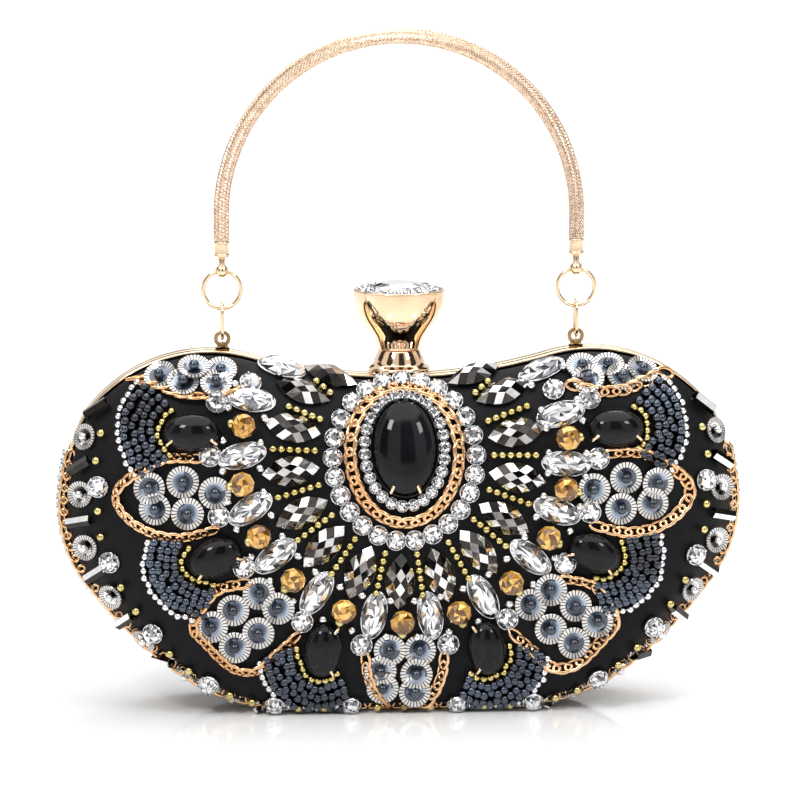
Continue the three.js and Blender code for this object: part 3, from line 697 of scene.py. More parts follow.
def ring_points(half_x, half_y, z, count, offset=0.0, point=1.0):
    """Points on an oval, drawn to a point at its two ends as the exponent falls below 1."""
    angle = 2 * math.pi * (np.arange(count) + offset) / count
    y = half_y * np.sin(angle)
    x = half_x * np.sign(np.cos(angle)) * np.abs(np.cos(angle)) ** point
    return np.column_stack([x, y, np.full(count, z)])


def round_stone(radius, height, sides=10, base=0.0):
    rings = [
        ring_points(radius, radius, base, sides),
        ring_points(radius, radius, base + height * 0.35, sides, 0.5),
        ring_points(radius * 0.82, radius * 0.82, base + height * 0.72, sides),
        ring_points(radius * 0.5, radius * 0.5, base + height, sides, 0.5),
    ]
    return faceted(rings, [0, 0, base + height * 0.99], base)


def claw_cup(radius, height, claws=4):
    """A shallow metal cup whose claws bend over its stone."""
    wall = mould(turned(
        [(AXIS, 0), (radius * 1.02, 0), (radius * 1.1, height * 0.45), (radius * 1.04, height * 0.5),
         (radius * 0.92, height * 0.12), (AXIS, height * 0.1)], 14))
    pieces = [wall]
    for i in range(claws):
        turn = turn_about(2, 45 + 360 * i / claws)
        claw = mould(loft([
            [[radius, -0.28, 0.1], [radius * 1.14, -0.28, 0.1],
             [radius * 1.14, 0.28, 0.1], [radius, 0.28, 0.1]],
            [[radius, -0.24, height * 0.7], [radius * 1.12, -0.24, height * 0.7],
             [radius * 1.12, 0.24, height * 0.7], [radius, 0.24, height * 0.7]],
            [[radius * 0.78, -0.16, height * 0.92], [radius * 0.84, -0.16, height * 1.04],
             [radius * 0.84, 0.16, height * 1.04], [radius * 0.78, 0.16, height * 0.92]],
        ]))
        pieces.append(shifted(claw, (0, 0, 0), turn))
    return merged(*pieces)


def pointed_stone(half_length, half_width, height):
    """A clear navette: an oval drawn to two points, cut in three tiers."""
    rings = [
        ring_points(half_length, half_width, 0, 14, 0, 1.25),
        ring_points(half_length * 0.98, half_width * 0.98, height * 0.3, 14, 0, 1.25),
        ring_points(half_length * 0.76, half_width * 0.72, height * 0.75, 14, 0.5, 1.15),
        ring_points(half_length * 0.5, half_width * 0.36, height, 14, 0, 1.1),
    ]
    return faceted(rings, [0, 0, height], 0, bright=0.62)


# Painted reflections of the lozenges: the shades that lit ones take, and below, the brightest that an unlit one
# gets.
LIT_SHADES = (0.55, 0.85, 1.0)
UNLIT_SHADE = 0.42  # the brightest that a dark lozenge gets
GIRDLE = 0.25  # height of a marquise's edge as a share of its height


def checker_stone(half_length, half_width, height, tiers=4):
    """A dark marquise cut in lozenges, with painted reflections bright and dark in turn."""
    verts, faces, shades = [], [], []
    for i in range(tiers + 1):
        for j in range(tiers + 1):
            s, t = 2 * i / tiers - 1, 2 * j / tiers - 1
            x, y = (s + t) / 2, (t - s) / 2
            swell = (1 - x * x) / max(1 - abs(x), 0.12)
            dome = math.sqrt(max(1 - s * s, 0)) * math.sqrt(max(1 - t * t, 0))
            rise = GIRDLE + (1 - GIRDLE) * dome**0.8
            verts.append([x * half_length, y * swell * half_width, rise * height])
    step = tiers + 1
    for i in range(tiers):
        for j in range(tiers):
            faces.append((i * step + j, (i + 1) * step + j, (i + 1) * step + j + 1, i * step + j + 1))
            lit = (i + j) % 2 == 0
            shades.append(random.choice(LIT_SHADES) if lit else random.uniform(0.0, UNLIT_SHADE))
    rim = [i * step for i in range(tiers)] + [tiers * step + j for j in range(tiers)]
    rim += [i * step + tiers for i in range(tiers, 0, -1)] + list(range(tiers, 0, -1))
    base = len(verts)
    for index in rim:
        verts.append([verts[index][0] * 0.97, verts[index][1] * 0.97, 0])
    count = len(rim)
    for c in range(count):
        d = (c + 1) % count
        faces.append((rim[c], rim[d], base + d, base + c))
        # Painted highlights of varying strength on the stone's sides, which show its outline.
        shades.append(random.uniform(0.1, 0.8))
    # The underside is painted dark, as shade.
    faces.append(tuple(base + c for c in range(count)))
    shades.append(0.1)
    verts, faces = facing_out(np.array(verts), faces)
    return verts, faces, shades


def cut_bead(radius, sides=9, tiers=6):
    """A round bead cut in flats all over, each flat with a painted reflection."""
    rings = []
    for k in range(1, tiers):
        tilt = math.pi * k / tiers
        rings.append(ring_points(radius * math.sin(tilt), radius * math.sin(tilt),
                                 radius - radius * math.cos(tilt), sides, 0.5 * (k % 2)))
    verts, faces, _ = faceted(rings, [0, 0, 2 * radius * 0.97], 2 * radius * 0.03)
    return verts, faces, painted_facet_reflections(len(faces), 0.15, 1.0, 0.5)


def ball(radius, sides=10, tiers=7, flat=1.0):
    """A smooth bead that stands on its place."""
    rows = []
    for k in range(1, tiers):
        tilt = math.pi * k / tiers
        r = radius * math.sin(tilt)
        rows.append(ring_points(r, r, radius * flat * (1 - math.cos(tilt)), sides))
    verts, faces = loft(rows, hub_caps=True)
    verts[-2:, 2] = (0, 2 * radius * flat)
    return mould((verts, faces))


def drilled_bead(radius, hole=0.3, sides=10):
    """A seed bead: a fat ring that lies with its hole along X."""
    angle = 2 * math.pi * np.arange(sides) / sides
    section = 2 * math.pi * np.arange(6) / 6
    fat = radius * (1 - hole) / 2
    rows = []
    for a in angle:
        reach = radius - fat + fat * np.cos(section)
        across, up = reach * math.cos(a), radius + reach * math.sin(a)
        rows.append(np.column_stack([0.8 * radius * np.sin(section), across, up]))
    return mould(loft(rows, looped=True))


LINK_SIDES = 14
LINK_TWIST = 38
LINK_CLEAR = 0.55  # what the twist needs over the surface
# Half length, half width and wire radius of each chain's links, and their pitch.
TRIM_LINK, TRIM_LINK_PITCH = (2.8, 1.5, 0.58), 3.6
RING_LINK, RING_LINK_PITCH = (3.3, 1.75, 0.72), 4.1
PETAL_LINK, PETAL_LINK_PITCH = (2.9, 1.55, 0.62), 3.6


def curb_link(half_length, half_width, wire):
    """One link of a curb chain, twisted about the chain's line."""
    angle = 2 * math.pi * np.arange(LINK_SIDES) / LINK_SIDES
    route = np.column_stack([half_length * np.cos(angle), half_width * np.sin(angle), np.zeros(LINK_SIDES)])
    link = mould(tube(route, wire, 6, looped=True, normal=(0, 0, 1)))
    return shifted(link, (0, 0, wire + LINK_CLEAR), turn_about(0, LINK_TWIST))


TOOTH = 0.68  # share of a tooth in its pitch


def notched_rim(outer, inner, teeth=26):
    """A cup sequin's rim: raised teeth with narrow slots between them, the slots painted dark as shade and each
    face painted lighter or darker by the way it faces.
    """
    verts, faces, shades = [], [], []
    for i in range(teeth):
        for before, part, rise, tone in ((0, TOOTH, 0.22, 1.0), (TOOTH, 1 - TOOTH, 0.0, 0.12)):
            start = 2 * math.pi * (i + before) / teeth
            end = start + 2 * math.pi * part / teeth
            section = ((inner, 0.5), (inner, 0.9 + rise), (outer * 0.97, 1.35 + rise), (outer, 1.2 + rise),
                       (outer, 0.9))
            base = len(verts)
            verts += [[r * math.cos(a), r * math.sin(a), z] for a in (start, end) for r, z in section]
            faces += [(base + k, base + k + 5, base + (k + 1) % 5 + 5, base + (k + 1) % 5) for k in range(5)]
            faces += [tuple(base + k for k in (4, 3, 2, 1, 0)), tuple(base + k for k in (5, 6, 7, 8, 9))]
            # Painted light and shade: each face of a tooth is lighter or darker by the way it faces the light.
            shades += [tone * 0.4, tone, tone, tone * 0.8, tone * 0.3, tone * 0.5, tone * 0.5]
    return np.array(verts), faces, shades


def glass_dish(radius):
    """The dished glass middle of a sequin, with a painted reflection: a run of faces in two of its rings
    painted bright as a crescent of reflected light, the rest dark.
    """
    sides = 16
    profile = [(AXIS, 0.2), (radius, 0.2), (radius, 0.95), (radius * 0.8, 0.75), (radius * 0.45, 0.55),
               (AXIS, 0.5)]
    verts, faces = turned(profile, sides)
    # For each ring of faces: how many carry the painted reflection, and the shades of those and of the rest.
    reflection_rings = ((0, 0, 0.2), (0, 0, 0.3), (7, 0.95, 0.45), (9, 0.75, 0.25), (0, 0, 0.15))
    shades = [bright if c < lit else dark for lit, bright, dark in reflection_rings for c in range(sides)]
    return verts, faces, shades + [0.1, 0.1]


def bugle(length, radius, wall=0.45):
    """A six-sided glass tube that lies along X, each side painted lighter or darker as light would fall on it,
    the brightest as a painted highlight.
    """
    angle = 2 * math.pi * (np.arange(6) + 0.5) / 6
    rows = []
    for x, r in ((-1, radius), (1, radius), (1, radius - wall), (-1, radius - wall)):
        up = radius * 0.9 + r * np.sin(angle)
        rows.append(np.column_stack([np.full(6, x * length / 2), r * np.cos(angle), up]))
    verts, faces = loft(rows, looped=True)
    return verts, faces, [[0.2, 0.9, 0.35, 0.75, 0.1, 0.5][c % 6] for c in range(len(faces))]


# ---- Camera, floor and light ----

VIEW_AZIMUTH = -4.0
VIEW_ELEVATION = 8.5
LENS = 200
SENSOR = 36
FRAME_WIDTH = 243.4  # seen at the parting plane
AIM = np.array([0.3, PARTING, 92.3])


def way_at(azimuth, elevation):
    """The way from the bag at an azimuth, measured from the front, and an elevation."""
    a, e = math.radians(azimuth), math.radians(elevation)
    return Vector((math.sin(a) * math.cos(e), -math.cos(a) * math.cos(e), math.sin(e)))


def add_camera():
    data = bpy.data.cameras.new("camera")
    data.lens, data.sensor_width = LENS, SENSOR
    data.clip_start, data.clip_end = 0.05, 60
    camera = bpy.data.objects.new("camera", data)
    bpy.context.scene.collection.objects.link(camera)
    back = way_at(VIEW_AZIMUTH, VIEW_ELEVATION)
    distance = FRAME_WIDTH * LENS / SENSOR
    camera.location = Vector(AIM * MM) + back * distance * MM
    camera.rotation_euler = back.to_track_quat("Z", "Y").to_euler()
    bpy.context.scene.camera = camera


FLOOR_RADIUS, FLOOR_SIDES, FLOOR_Z = 14.0, 96, -0.0002  # metres
LIGHT_AIM = Vector((0, 0, 0.1))


def add_floor():
    mesh = bpy.data.meshes.new("floor")
    angles = [2 * math.pi * i / FLOOR_SIDES for i in range(FLOOR_SIDES)]
    ring = [(FLOOR_RADIUS * math.cos(a), FLOOR_RADIUS * math.sin(a), FLOOR_Z) for a in angles]
    mesh.from_pydata(ring, [], [tuple(range(FLOOR_SIDES))])
    material = new_material("floor_paper", (0.93, 0.93, 0.93), 0.07, Specular_IOR_Level=0.4)
    paint(material, color_ramp(material, object_noise(material, 3.0), "Fac",
                               [(0.3, (0.92, 0.92, 0.92)), (0.7, (0.95, 0.95, 0.95))]))
    mesh.materials.append(material)
    floor = bpy.data.objects.new("floor", mesh)
    bpy.context.scene.collection.objects.link(floor)


def add_light(name, azimuth, elevation, distance, size, power):
    """A square soft box that looks at the bag from an azimuth measured from the front."""
    data = bpy.data.lights.new(name, "AREA")
    data.size, data.energy = size, power
    lamp = bpy.data.objects.new(name, data)
    back = way_at(azimuth, elevation)
    lamp.location = LIGHT_AIM + back * distance
    lamp.rotation_euler = back.to_track_quat("Z", "Y").to_euler()
    bpy.context.scene.collection.objects.link(lamp)


WALL_LIGHT = 1.0
CEILING_LIGHT = 1.5  # what the ceiling adds to the walls' light
WALL_FOOT = (0.14, 0.24)  # sines of the elevations between which the panels begin
CEILING_EDGE = (0.72, 0.8)  # and between which they end
WALL_WHITE = (0.97, 0.97, 0.97, 1)
PANELS, PANEL_TURN = 6.0, 0.6  # number of bright panels round the room, and their turn in radians
PANEL_EDGE = 0.25  # softness of their edges
PANEL_DARK, PANEL_BRIGHT = 0.05, 0.95


def blend_node(tree, factor, low, high):
    """Mixes two colours, each a constant or another node's output."""
    mix = tree.nodes.new("ShaderNodeMix")
    mix.data_type = "RGBA"
    tree.links.new(factor, mix.inputs["Factor"])
    for name, value in (("A", low), ("B", high)):
        if isinstance(value, tuple):
            mix.inputs[name].default_value = value
        else:
            tree.links.new(value, mix.inputs[name])
    return mix.outputs["Result"]


def add_world():
    """A pale room whose upper walls have bright panels with dark gaps, for the metal to reflect."""
    world = bpy.data.worlds.new("studio")
    bpy.context.scene.world = world
    world.use_nodes = True
    tree = world.node_tree
    background = tree.nodes["Background"]

    def math_node(operation, *values):
        node = tree.nodes.new("ShaderNodeMath")
        node.operation = operation
        for i, value in enumerate(values):
            if isinstance(value, (int, float)):
                node.inputs[i].default_value = value
            else:
                tree.links.new(value, node.inputs[i])
        return node.outputs[0]

    coordinates = tree.nodes.new("ShaderNodeTexCoord")
    split = tree.nodes.new("ShaderNodeSeparateXYZ")
    tree.links.new(coordinates.outputs["Generated"], split.inputs[0])
    azimuth = math_node("ARCTAN2", split.outputs["Y"], split.outputs["X"])
    wave = math_node("SINE", math_node("MULTIPLY_ADD", azimuth, PANELS, PANEL_TURN))
    panels = ranged(tree, wave, -PANEL_EDGE, PANEL_EDGE, PANEL_DARK, PANEL_BRIGHT)
    above = ranged(tree, split.outputs["Z"], *WALL_FOOT)
    zenith = ranged(tree, split.outputs["Z"], *CEILING_EDGE)
    lower = blend_node(tree, above, WALL_WHITE, panels)
    whole = blend_node(tree, zenith, lower, (1, 1, 1, 1))
    strength = math_node("MULTIPLY_ADD", zenith, CEILING_LIGHT, WALL_LIGHT)
    tree.links.new(whole, background.inputs["Color"])
    tree.links.new(strength, background.inputs["Strength"])


add_camera()
add_floor()
add_world()
add_light("key_box", -38, 44, 1.5, 0.3, 7)
add_light("fill_box", 46, 38, 1.6, 0.3, 4.5)
add_light("back_box", 170, 50, 1.6, 0.7, 5)
bpy.context.scene.view_settings.view_transform = "Standard"


# ---- Shells: covers, linings, rims, pocket and gussets ----

SETTLE_FROM = 3.6  # along the profile
SETTLE_STEPS = 150
COVER_SPAN, LINING_SPAN = 5, 3  # rings between two points of the profile


def settled(rings, per_span):
    """Relaxes the crown of a cover, which has no stones over it, into one even swell."""
    grid = np.stack(rings)
    first = int(SETTLE_FROM * per_span)
    for _ in range(SETTLE_STEPS):
        hub = np.broadcast_to(grid[-1].mean(axis=0), (1, *grid[0].shape))
        below, above = grid[first - 1: -1], np.vstack([grid[first + 1:], hub])
        beside = (np.roll(grid[first:], 1, axis=1) + np.roll(grid[first:], -1, axis=1)) / 2
        grid[first:] = (below + above + 2 * beside) / 4
    return list(grid)


def shell(name, node, side, offset, wall, material, per_span):
    """A cover or a lining as a closed solid with the thickness of its wall."""
    profile = FRONT_PROFILE if side < 0 else REAR_PROFILE
    outer = dome_rings(profile, side, offset, per_span)
    inner = dome_rings(profile, side, offset + wall, per_span)
    if side > 0:
        outer, inner = settled(outer, per_span), settled(inner, per_span)
    verts, faces = loft(outer[::-1] + inner, hub_caps=True)
    verts[:, 2] = np.maximum(verts[:, 2], TABLE_GAP)
    piece = make_piece(name, verts, faces, half_of(side)[1], material)
    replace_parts(piece, node)


shell("front_satin", "front_cover", -1, 0, COVER_WALL, SATIN, COVER_SPAN)
shell("rear_satin", "rear_cover", 1, 0, COVER_WALL, SATIN, COVER_SPAN)
shell("front_lining_cloth", "front_lining", -1, LINING_OFFSET, LINING_WALL, LINING, LINING_SPAN)
shell("rear_lining_cloth", "rear_lining", 1, LINING_OFFSET, LINING_WALL, LINING, LINING_SPAN)

RIM_SECTION = [
    (0.3, 0.15), (0.08, 0.35), (0, 0.8), (0, 3.5), (0.1, 4.0), (0.4, 4.3), (0.75, 4.3), (1.0, 4.1),
    (1.0, 1.35), (1.2, 1.15), (4.0, 1.15), (4.2, 1.0), (4.2, 0.3), (4.05, 0.15),
]

# Depth from the parting plane that each rim leaves free for the clasp's arm, and how far to both sides of it.
ARM_ROOM = {-1: 2.2, 1: 0.9}
ARM_SIDE = 3.4


def rim(side, name, node):
    """A metal rim: an L section along the case line, notched for the clasp's arm."""
    beside_arm = (np.abs(OUTLINE[:, 0]) < ARM_SIDE) & (OUTLINE[:, DEGREES] > 90)
    rings = []
    for inset, depth in RIM_SECTION:
        notched = case_ring(min(inset, 1 + inset / 100), max(depth, ARM_ROOM[side] + depth / 100), side)
        rings.append(np.where(beside_arm[:, None], notched, case_ring(inset, depth, side)))
    verts, faces = loft(np.stack(rings, axis=1), looped=True)
    piece = make_piece(name, verts, faces, half_of(side)[1], PALE_GOLD)
    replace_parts(piece, node)


rim(-1, "front_rim_polished", "front_rim")
rim(1, "rear_rim_polished", "rear_rim")

POCKET_WALL = 0.8
POCKET_SAG = 1.6


def pocket():
    """A cloth pocket with a turned top edge, hanging a little slack between its seams."""
    low, high = corners("inner_pocket")
    columns, rows = 40, 24
    front, back = [], []
    for r in range(rows + 1):
        v = r / rows
        for c in range(columns + 1):
            u = c / columns
            slack = POCKET_SAG * math.sin(math.pi * u) * v**1.5 * (0.8 + 0.2 * math.sin(9 * math.pi * u))
            x = low[0] + (high[0] - low[0]) * u
            z = low[2] + (high[2] - low[2]) * v - 0.8 * math.sin(math.pi * u) * v**3
            front.append((x, low[1] - slack, z))
            back.append((x, low[1] - slack + POCKET_WALL, z))
    width, total = columns + 1, (rows + 1) * (columns + 1)
    faces = []
    for r in range(rows):
        for c in range(columns):
            a = r * width + c
            faces.append((a, a + 1, a + width + 1, a + width))
            faces.append((total + a, total + a + width, total + a + width + 1, total + a + 1))
    border = list(range(width)) + [r * width + columns for r in range(1, rows + 1)]
    border += [rows * width + c for c in range(columns - 1, -1, -1)]
    border += [r * width for r in range(rows - 1, 0, -1)]
    for a, b in zip(border, border[1:] + border[:1]):
        faces.append((b, a, total + a, total + b))
    verts, faces = facing_out(np.array(front + back), faces)
    piece = make_piece("pocket_cloth", verts, faces, "rear_half", LINING)
    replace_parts(piece, "inner_pocket")


pocket()

GUSSET_REACH = 6.0
GUSSET_INSET = 7.4
GUSSET_CLOTH = 0.5
PLEAT = 1.3
PLEATS = 3
GUSSET_END = -80


def gusset(end):
    """A pleated strip inside one end of the case, folded like a bellows between the two halves."""
    right = OUTLINE[: len(OUTLINE) // 2 + 1]
    within = (right[:, DEGREES] <= TRIM_START) & (right[:, DEGREES] >= GUSSET_END)
    run = right[within] * [end, 1, end, 1, 1, 1]
    steps = 8 * PLEATS
    across = np.linspace(-1, 1, steps + 1)
    fold = PLEAT * np.abs(np.sin(math.pi * PLEATS * (across + 1) / 2))
    section = [(GUSSET_INSET + f, GUSSET_REACH * a) for f, a in zip(fold, across)]
    section += [(GUSSET_INSET + GUSSET_CLOTH + f, GUSSET_REACH * a) for f, a in zip(fold[::-1], across[::-1])]
    rings = [case_ring(inset, depth, 1, run) for inset, depth in section]
    rows = np.stack(rings, axis=1)
    verts, faces = loft(rows)
    side_name = "right" if end > 0 else "left"
    piece = make_piece(f"gusset_cloth_{side_name}", verts, faces, None, LINING)
    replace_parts(piece, f"gusset_{side_name}")
    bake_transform(piece)


gusset(-1)
gusset(1)


def leaf_spring():
    """A bent steel leaf whose free end leans on the clasp's arm."""
    low, high = corners("latch_spring")
    half, top, thick = (high[0] - low[0]) / 2, high[2], 0.3
    route = [(low[1] - PARTING, top - 0.2), (-2.9, top - 0.2), (-2.45, top - 0.45)]
    route += [(-2.3 + 1.4 * t, top - 0.8 - 1.9 * t) for t in np.linspace(0, 1, 8)]
    route += [(-1.0, top - 3.0), (-1.2, low[2] + 0.1)]
    route = np.array(route)
    ways = np.gradient(route, axis=0)
    ways /= np.linalg.norm(ways, axis=1)[:, None]
    rows = []
    for (y, z), (way_y, way_z) in zip(route, ways):
        back = np.array([way_z, -way_y]) * thick / 2
        rows.append([(x, PARTING + y + s * back[0], z + s * back[1]) for x, s in
                     ((-half, -1), (half, -1), (half, 1), (-half, 1))])
    verts, faces = loft(rows)
    piece = make_piece("latch_leaf", verts, faces, None, STEEL, smoothed=False)
    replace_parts(piece, "latch_spring")
    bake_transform(piece)


leaf_spring()


# ---- Edge trims ----

TRIM_CLIMB = 2.2  # how much further along the profile the front's trims lie at the base, to stay in sight
CLIMB_DEGREES = (5, 65)  # below the middle of the end, where they leave the edge and where they are up
# Inset and depth of each trim's line, its place along the profile once up, its pitch, its lean in degrees.
STONE_TRIM = ((-0.15, 3.15), 1.15, 2.65, 14.0)
CHAIN_TRIM = ((1.3, 5.9), 1.75, TRIM_LINK_PITCH, 52.0)


def base_climb(degrees):
    """How far a trim has climbed where the outline has some degrees: 0 on the edge and 1 at the base."""
    return smooth(-degrees, *CLIMB_DEGREES)


def trim_line(run, side, near, u):
    """Seats of a trim: on the case's edge, and on the front half climbing onto its cover lower down."""
    seats = case_ring(*near, side, run)
    if side > 0:
        return seats
    for i, row in enumerate(run):
        climb = base_climb(row[DEGREES])
        swell = dome_ring(profile_at(FRONT_PROFILE, u + TRIM_CLIMB * climb), side, run[i: i + 1])[0]
        seats[i] = seats[i] * (1 - climb) + swell * climb
    return seats


def edge_trims(side):
    """A row of set crystals and a curb chain along the sides and base of one half."""
    half, body = half_of(side)
    run = OUTLINE[OUTLINE[:, DEGREES] <= TRIM_START]
    stones = Pile(f"{half}_edge_stones", CRYSTAL, body)
    cups = Pile(f"{half}_edge_cups", SILVER, body)
    stone_moulds = [shifted(round_stone(1.12, 1.1, 8), (0, 0, 0.8)) for _ in range(4)]
    cup = claw_cup(1.16, 1.7)
    near, u, pitch, lean = STONE_TRIM
    seats = trim_line(run, side, near, u)
    for i, stop in enumerate(spaced(seats, pitch)):
        place = edge_frame(run, seats, stop, lean, side)
        stones.add(stone_moulds[i % len(stone_moulds)], place)
        cups.add(cup, place)
    stones_piece = stones.make()
    cups.make()
    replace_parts(stones_piece, f"{half}_edge_crystals")
    chain = Pile(f"{half}_edge_curb_chain", ROSE_GOLD, body)
    link = curb_link(*TRIM_LINK)
    near, u, pitch, lean = CHAIN_TRIM
    seats = trim_line(run, side, near, u)
    for stop in spaced(seats, pitch):
        chain.add(link, edge_frame(run, seats, stop, lean, side))
    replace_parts(chain.make(), f"{half}_edge_chain")


def edge_frame(run, seats, stop, lean, side):
    """A place on the case's edge that faces outwards, leaning towards the front or rear by some degrees."""
    low = min(int(stop), len(run) - 2)
    share = stop - low
    point = seats[low] * (1 - share) + seats[low + 1] * share
    along = unit(seats[low + 1] - seats[low])
    inward = run[low, 2:4] * (1 - share) + run[low + 1, 2:4] * share
    tilt = math.radians(lean)
    out = np.array([-inward[0] * math.cos(tilt), side * math.sin(tilt), -inward[1] * math.cos(tilt)])
    return framed(along, out - along * np.dot(out, along)), point


edge_trims(-1)
edge_trims(1)


# ---- Oval stones in their settings ----

CENTRE = (0.0, 80.7)
CENTRE_LEAN = 18
CENTRE_HALF, CENTRE_HEIGHT = (14.3, 9.5), 4.6
CABOCHON_HALF, CABOCHON_HEIGHT = (8.15, 5.7), 4.2
# Distance from the middle, height and turn in degrees of each pair of stones.
CABOCHONS = {"upper": (63.5, 86.0, 0), "side": (57.0, 49.2, 25), "lower": (24.6, 20.6, 84)}
STAND_OFF = 0.6


def cad_seat(x, z):
    """Where a line from the front meets the CAD cover, and the way its facet faces."""
    mesh = nodes["front_cover"].data
    tree = BVHTree.FromPolygons([v.co for v in mesh.vertices], [tuple(p.vertices) for p in mesh.polygons])
    hit, normal, _, _ = tree.ray_cast(Vector((x * MM, LINE_START * MM, z * MM)), Vector((0, 1, 0)))
    return np.array(hit) / MM, np.array(normal)


def drawn_out(solid, half_length, half_width):
    """Draws a turned solid out along X, keeping the thickness of walls outside the stone's edge."""
    verts, faces = solid
    r = np.maximum(np.hypot(verts[:, 0], verts[:, 1]), 1e-6)
    factor = np.where(r > half_width, (r + half_length - half_width) / r, half_length / half_width)
    return np.column_stack([verts[:, 0] * factor, verts[:, 1:]]), faces


SETTING_FLOOR = 1.0


def oval_stone(half_width, height):
    """A cabochon, round as yet: drawn_out makes it oval."""
    base = 1.3
    climb = np.linspace(0, math.pi / 2, 14)[:-1]
    dome = [(half_width * math.cos(t), base + 0.5 + height * math.sin(t)) for t in climb]
    return turned([(AXIS, base), (half_width - 0.3, base), (half_width, base + 0.3), *dome,
                   (AXIS, base + 0.5 + height)], 72)


def oval_setting(half_width, rim_width, wall):
    """A setting, round as yet, with a wall round its stone where it is higher than the setting's floor."""
    profile = [(AXIS, 0), (half_width + rim_width, 0), (half_width + rim_width, wall), (AXIS, wall)]
    if wall > SETTING_FLOOR:
        profile[3:] = [(half_width + 0.3, wall), (half_width + 0.3, SETTING_FLOOR), (AXIS, SETTING_FLOOR)]
    return turned(rounded(profile, 0.3), 72)


def oval_group(label, place, half_length, half_width, height, bezel_size, nodes_for):
    """A setting and its oval stone, in place of two CAD nodes."""
    turn, point = place
    solids = {"bezel": oval_setting(half_width, *bezel_size), "stone": oval_stone(half_width, height)}
    for kind, solid in solids.items():
        verts, faces = drawn_out(solid, half_length, half_width)
        piece = make_piece(f"{label}_{kind}", verts @ turn.T + point, faces, "front_half", BLACK_STONE)
        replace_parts(piece, nodes_for[kind])


def add_prongs(pile, place, half_length, half_width, height, angles):
    """Small metal prongs that bend over the edge of an oval stone."""
    turn, point = place
    for angle in angles:
        c, s = math.cos(math.radians(angle)), math.sin(math.radians(angle))
        rim = np.array([(half_length + 0.7) * c, (half_width + 0.7) * s, 1.2])
        tip = np.array([(half_length - 1.2) * c, (half_width - 1.2) * s, 1.9 + height * 0.42])
        route = np.array([rim, rim + [0.1 * c, 0.1 * s, 1.4], (rim + tip) / 2 + [0, 0, 1.0], tip])
        side_way = np.array([-s, c, 0])
        verts, faces = tube(eased(route, 5), 0.5, 8, normal=side_way)
        pile.add(mould((verts, faces)), (turn, point))


prongs = Pile("stone_prongs", PALE_GOLD)
lean = math.radians(CENTRE_LEAN)
centre_point, _ = cad_seat(*CENTRE)
centre_out = np.array([0, -math.cos(lean), math.sin(lean)])
centre_place = stand(centre_point, centre_out, 90, STAND_OFF)
oval_group("centre", centre_place, *CENTRE_HALF, CENTRE_HEIGHT, (0.9, 1.9),
           {"bezel": "centre_setting", "stone": "centre_cabochon"})
add_prongs(prongs, centre_place, *CENTRE_HALF, CENTRE_HEIGHT, (155, 205))
for label, (x, z, tilt) in CABOCHONS.items():
    for end, side_name in ((-1, "left"), (1, "right")):
        point, out = cad_seat(end * x, z)
        place = stand(point, out, -end * tilt, STAND_OFF)
        oval_group(f"{label}_{side_name}", place, *CABOCHON_HALF, CABOCHON_HEIGHT, (0.15, SETTING_FLOOR + 0.25),
                   {"bezel": f"{label}_setting_{side_name}", "stone": f"{label}_cabochon_{side_name}"})
        add_prongs(prongs, place, *CABOCHON_HALF, CABOCHON_HEIGHT, (215, 325))
prongs.make()


# ---- Rings round the middle stone ----

# Half width, half height above and below the middle, and the share by which the top follows the leaning stone
# instead of the cover, and how far the ring stands off.
INNER_RING = (12.1, 14.8, 16.8, 0.8, 1.7)
CHAIN_RING = (16.4, 18.3, 20.7, 0.75, 1.0)
OUTER_RING = (21.6, 21.4, 25.3, 0.65, 0)
OUTER_RING_DROP = 2.1
RING_POINTS = 240
SMALL_PITCH, LARGE_PITCH = 3.45, 5.6  # of the crystals of the inner and outer ring


def ring_seats(size, pitch, drop=0.0):
    """Places at an even pitch round an oval on the cover, each with its +X along the oval."""
    half_x, up, down, share, lift = size
    angle = 2 * math.pi * np.arange(RING_POINTS) / RING_POINTS
    z = CENTRE[1] - drop + np.where(np.sin(angle) > 0, up, down) * np.sin(angle)
    route = np.column_stack([half_x * np.cos(angle), z])
    seats = []
    for stop in spaced(route, pitch, closed=True):
        here, spin = on_route(route, stop, closed=True)
        turn, point = seat(*here, spin)
        follow = share * max(0.0, math.sin(angle[int(stop)]))
        out = turn[:, 2] * (1 - follow) + centre_out * follow
        plane_y = centre_point[1] + (here[1] - CENTRE[1]) * math.tan(lean)
        point = np.array([here[0], point[1] * (1 - follow) + plane_y * follow, here[1]])
        seats.append(stand(point, out, spin, lift))
    return seats


def centre_rings():
    """Two rings of set crystals with a curb chain between them."""
    inner_stones = Pile("centre_small_crystals", CRYSTAL)
    inner_cups = Pile("centre_small_cups", SILVER)
    outer_stones = Pile("centre_large_crystals", CRYSTAL)
    outer_cups = Pile("centre_large_cups", SILVER)
    chain = Pile("centre_curb_chain", ROSE_GOLD)
    small = [shifted(round_stone(1.68, 1.6, 10), (0, 0, 0.9)) for _ in range(5)]
    large = [shifted(round_stone(2.75, 2.6, 12), (0, 0, 1.1)) for _ in range(6)]
    small_cup, large_cup = claw_cup(1.72, 2.1), claw_cup(2.8, 3.0)
    for i, place in enumerate(ring_seats(INNER_RING, SMALL_PITCH)):
        inner_stones.add(small[i % len(small)], place)
        inner_cups.add(small_cup, place)
    for i, place in enumerate(ring_seats(OUTER_RING, LARGE_PITCH, OUTER_RING_DROP)):
        outer_stones.add(large[i % len(large)], place)
        outer_cups.add(large_cup, place)
    link = curb_link(*RING_LINK)
    for place in ring_seats(CHAIN_RING, RING_LINK_PITCH, OUTER_RING_DROP / 2):
        chain.add(link, place)
    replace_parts(inner_stones.make(), "centre_crystal_ring")
    for pile in (inner_cups, outer_stones, outer_cups, chain):
        pile.make()


centre_rings()


# ---- The spray of stones that radiates from the middle ----

